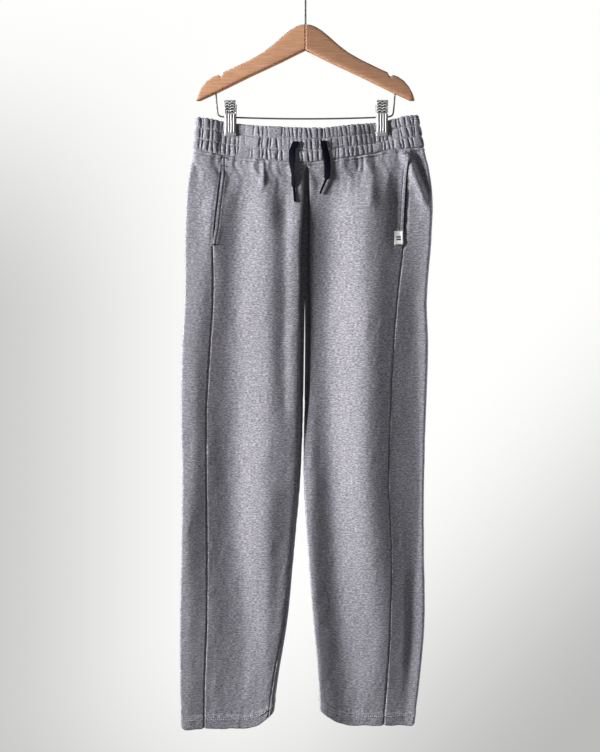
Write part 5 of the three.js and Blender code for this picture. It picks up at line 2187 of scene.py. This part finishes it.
@dataclass
class Studio:
    """Camera, lights, backdrop and floor."""

    distance: float = 1.5
    plane_y: float = 0.011
    view_height: float = 1.2077
    middle: tuple[float, float] = (-0.0088, -0.6588)
    sensor: float = 36.0
    wall_y: float = 4.5
    tone_y: float = 0.6
    half_wide: float = 9.0
    half_tall: float = 4.0
    floor_z: float = -3.2
    room_colour: Colour = (0.96, 0.97, 1.0)
    room_light: float = 0.035
    room_seen: float = 0.8
    lamps: tuple[Lamp, ...] = (
        Lamp("key", azimuth=-72, elevation=12, distance=2.4, size=0.8, power=53.5, spread=100),
        Lamp("rim", azimuth=100, elevation=4, distance=1.9, size=1.3, power=29),
        Lamp("fill", azimuth=10, elevation=18, distance=2.6, size=2.2, power=4.5),
    )

    def build(self) -> None:
        """Makes everything round the object."""
        scene = bpy.context.scene
        scene.view_settings.view_transform = "Standard"
        scene.view_settings.look = "None"
        self._camera()
        for lamp in self.lamps:
            lamp.build()
        self._world()
        self._backdrop()

    def _camera(self) -> None:
        """Makes the camera, level and in front of the object."""
        camera = bpy.data.cameras.new("camera")
        camera.sensor_width = self.sensor
        camera.lens = self.sensor / 2 / (self.view_height / 2 / self.distance)
        camera.clip_start, camera.clip_end = 0.05, 30.0
        obj = add_object("camera", camera)
        obj.location = (self.middle[0], self.plane_y - self.distance, self.middle[1])
        obj.rotation_euler = (math.pi / 2, 0, 0)
        bpy.context.scene.camera = obj

    def _world(self) -> None:
        """Makes a pale room that is seen but gives only a little light."""
        world = bpy.data.worlds.new("world")
        bpy.context.scene.world = world
        world.use_nodes = True
        tree = world.node_tree
        tree.nodes.clear()
        share = tree.nodes.new("ShaderNodeMixShader")
        for slot, strength in ((1, self.room_light), (2, self.room_seen)):
            room = tree.nodes.new("ShaderNodeBackground")
            room.inputs["Color"].default_value = rgba(*self.room_colour)
            room.inputs["Strength"].default_value = strength
            tree.links.new(room.outputs[0], share.inputs[slot])
        tree.links.new(tree.nodes.new("ShaderNodeLightPath").outputs["Is Camera Ray"], share.inputs[0])
        tree.links.new(share.outputs[0], tree.nodes.new("ShaderNodeOutputWorld").inputs[0])

    def _backdrop(self) -> None:
        """Makes the pale wall and floor."""
        wide, tall, y, low = self.half_wide, self.half_tall, self.wall_y, self.floor_z
        wall = [(-wide, y, -tall), (wide, y, -tall), (wide, y, tall), (-wide, y, tall)]
        floor = [(-wide, -wide, low), (wide, -wide, low), (wide, y, low), (-wide, y, low)]
        self._plane("backdrop", wall, self._wall_white())
        self._plane("floor", floor, self._floor_pale())

    def _wall_white(self) -> bpy.types.Material:
        """Makes the wall's glowing finish: white, with painted shade that fades it to a pale grey at the left
        and in the low corners.

        Returns:
            the material.
        """
        g = Graph("backdrop_white")
        nearer = (self.tone_y + self.distance - self.plane_y) / (self.wall_y + self.distance - self.plane_y)
        x, _, z = g.split(g.place())
        x = (x - self.middle[0]) * nearer + self.middle[0]
        z = (z - self.middle[1]) * nearer + self.middle[1]
        # Painted shade: the glowing wall is darkened at the left and in the low corners
        left = x.between(-0.098, -0.81) * z.between(0.227, -0.556)
        low = (x.at_least(0.0) + x.at_most(0.0) * 0.5 - z).between(1.04, 2.113)
        tone = 1.0 - left * 0.42 - low * 0.5
        colour = g.blend(tone.at_most(1.0), rgba(0, 0, 0), rgba(1.0, 0.998, 0.99))
        return g.ends_in(g.node("ShaderNodeEmission", "Emission", {"Color": colour, "Strength": 1.0}))

    @staticmethod
    def _floor_pale() -> bpy.types.Material:
        """Makes the floor's pale finish, seen at one even tone.

        Returns:
            the material.
        """
        g = Graph("floor_pale")
        seen = g.node("ShaderNodeEmission", "Emission", {"Color": rgba(0.72, 0.72, 0.715), "Strength": 1.0})
        matte = {"Base Color": rgba(0.8, 0.8, 0.79), "Roughness": 0.8}
        lit = g.node("ShaderNodeBsdfPrincipled", "BSDF", matte)
        camera = g.node("ShaderNodeLightPath", "Is Camera Ray", {})
        return g.ends_in(g.node("ShaderNodeMixShader", "Shader", {0: camera, 1: lit, 2: seen}))

    @staticmethod
    def _plane(name: str, corners: list, material: bpy.types.Material) -> bpy.types.Object:
        """Makes a flat four-sided piece of the studio.

        Args:
            name: its name.
            corners: its corners, in metres.
            material: its finish.

        Returns:
            the new object.
        """
        mesh = bpy.data.meshes.new(name)
        mesh.from_pydata(corners, [], [(0, 1, 2, 3)])
        mesh.materials.append(material)
        return add_object(name, mesh)


def main() -> None:
    """Builds the whole scene."""
    logging.basicConfig(level=logging.INFO, format="%(name)s %(message)s")
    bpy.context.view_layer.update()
    finishes = Finishes()
    panels = {(side, kind): Panel(side, kind, finishes) for side in Side for kind in Face}
    for panel in panels.values():
        panel.build()
    band = Waistband(finishes)
    band.build()
    Pockets(panels, finishes).build()
    Label(panels, finishes).build()
    Sewing(panels, band, finishes).build()
    for side in Side:
        Drawcord(side, finishes).build()
    hanger = Hanger(finishes)
    hanger.build()
    for side in Side:
        Clip(side, hanger, finishes).build()
    Studio().build()


if __name__ == "__main__":
    main()
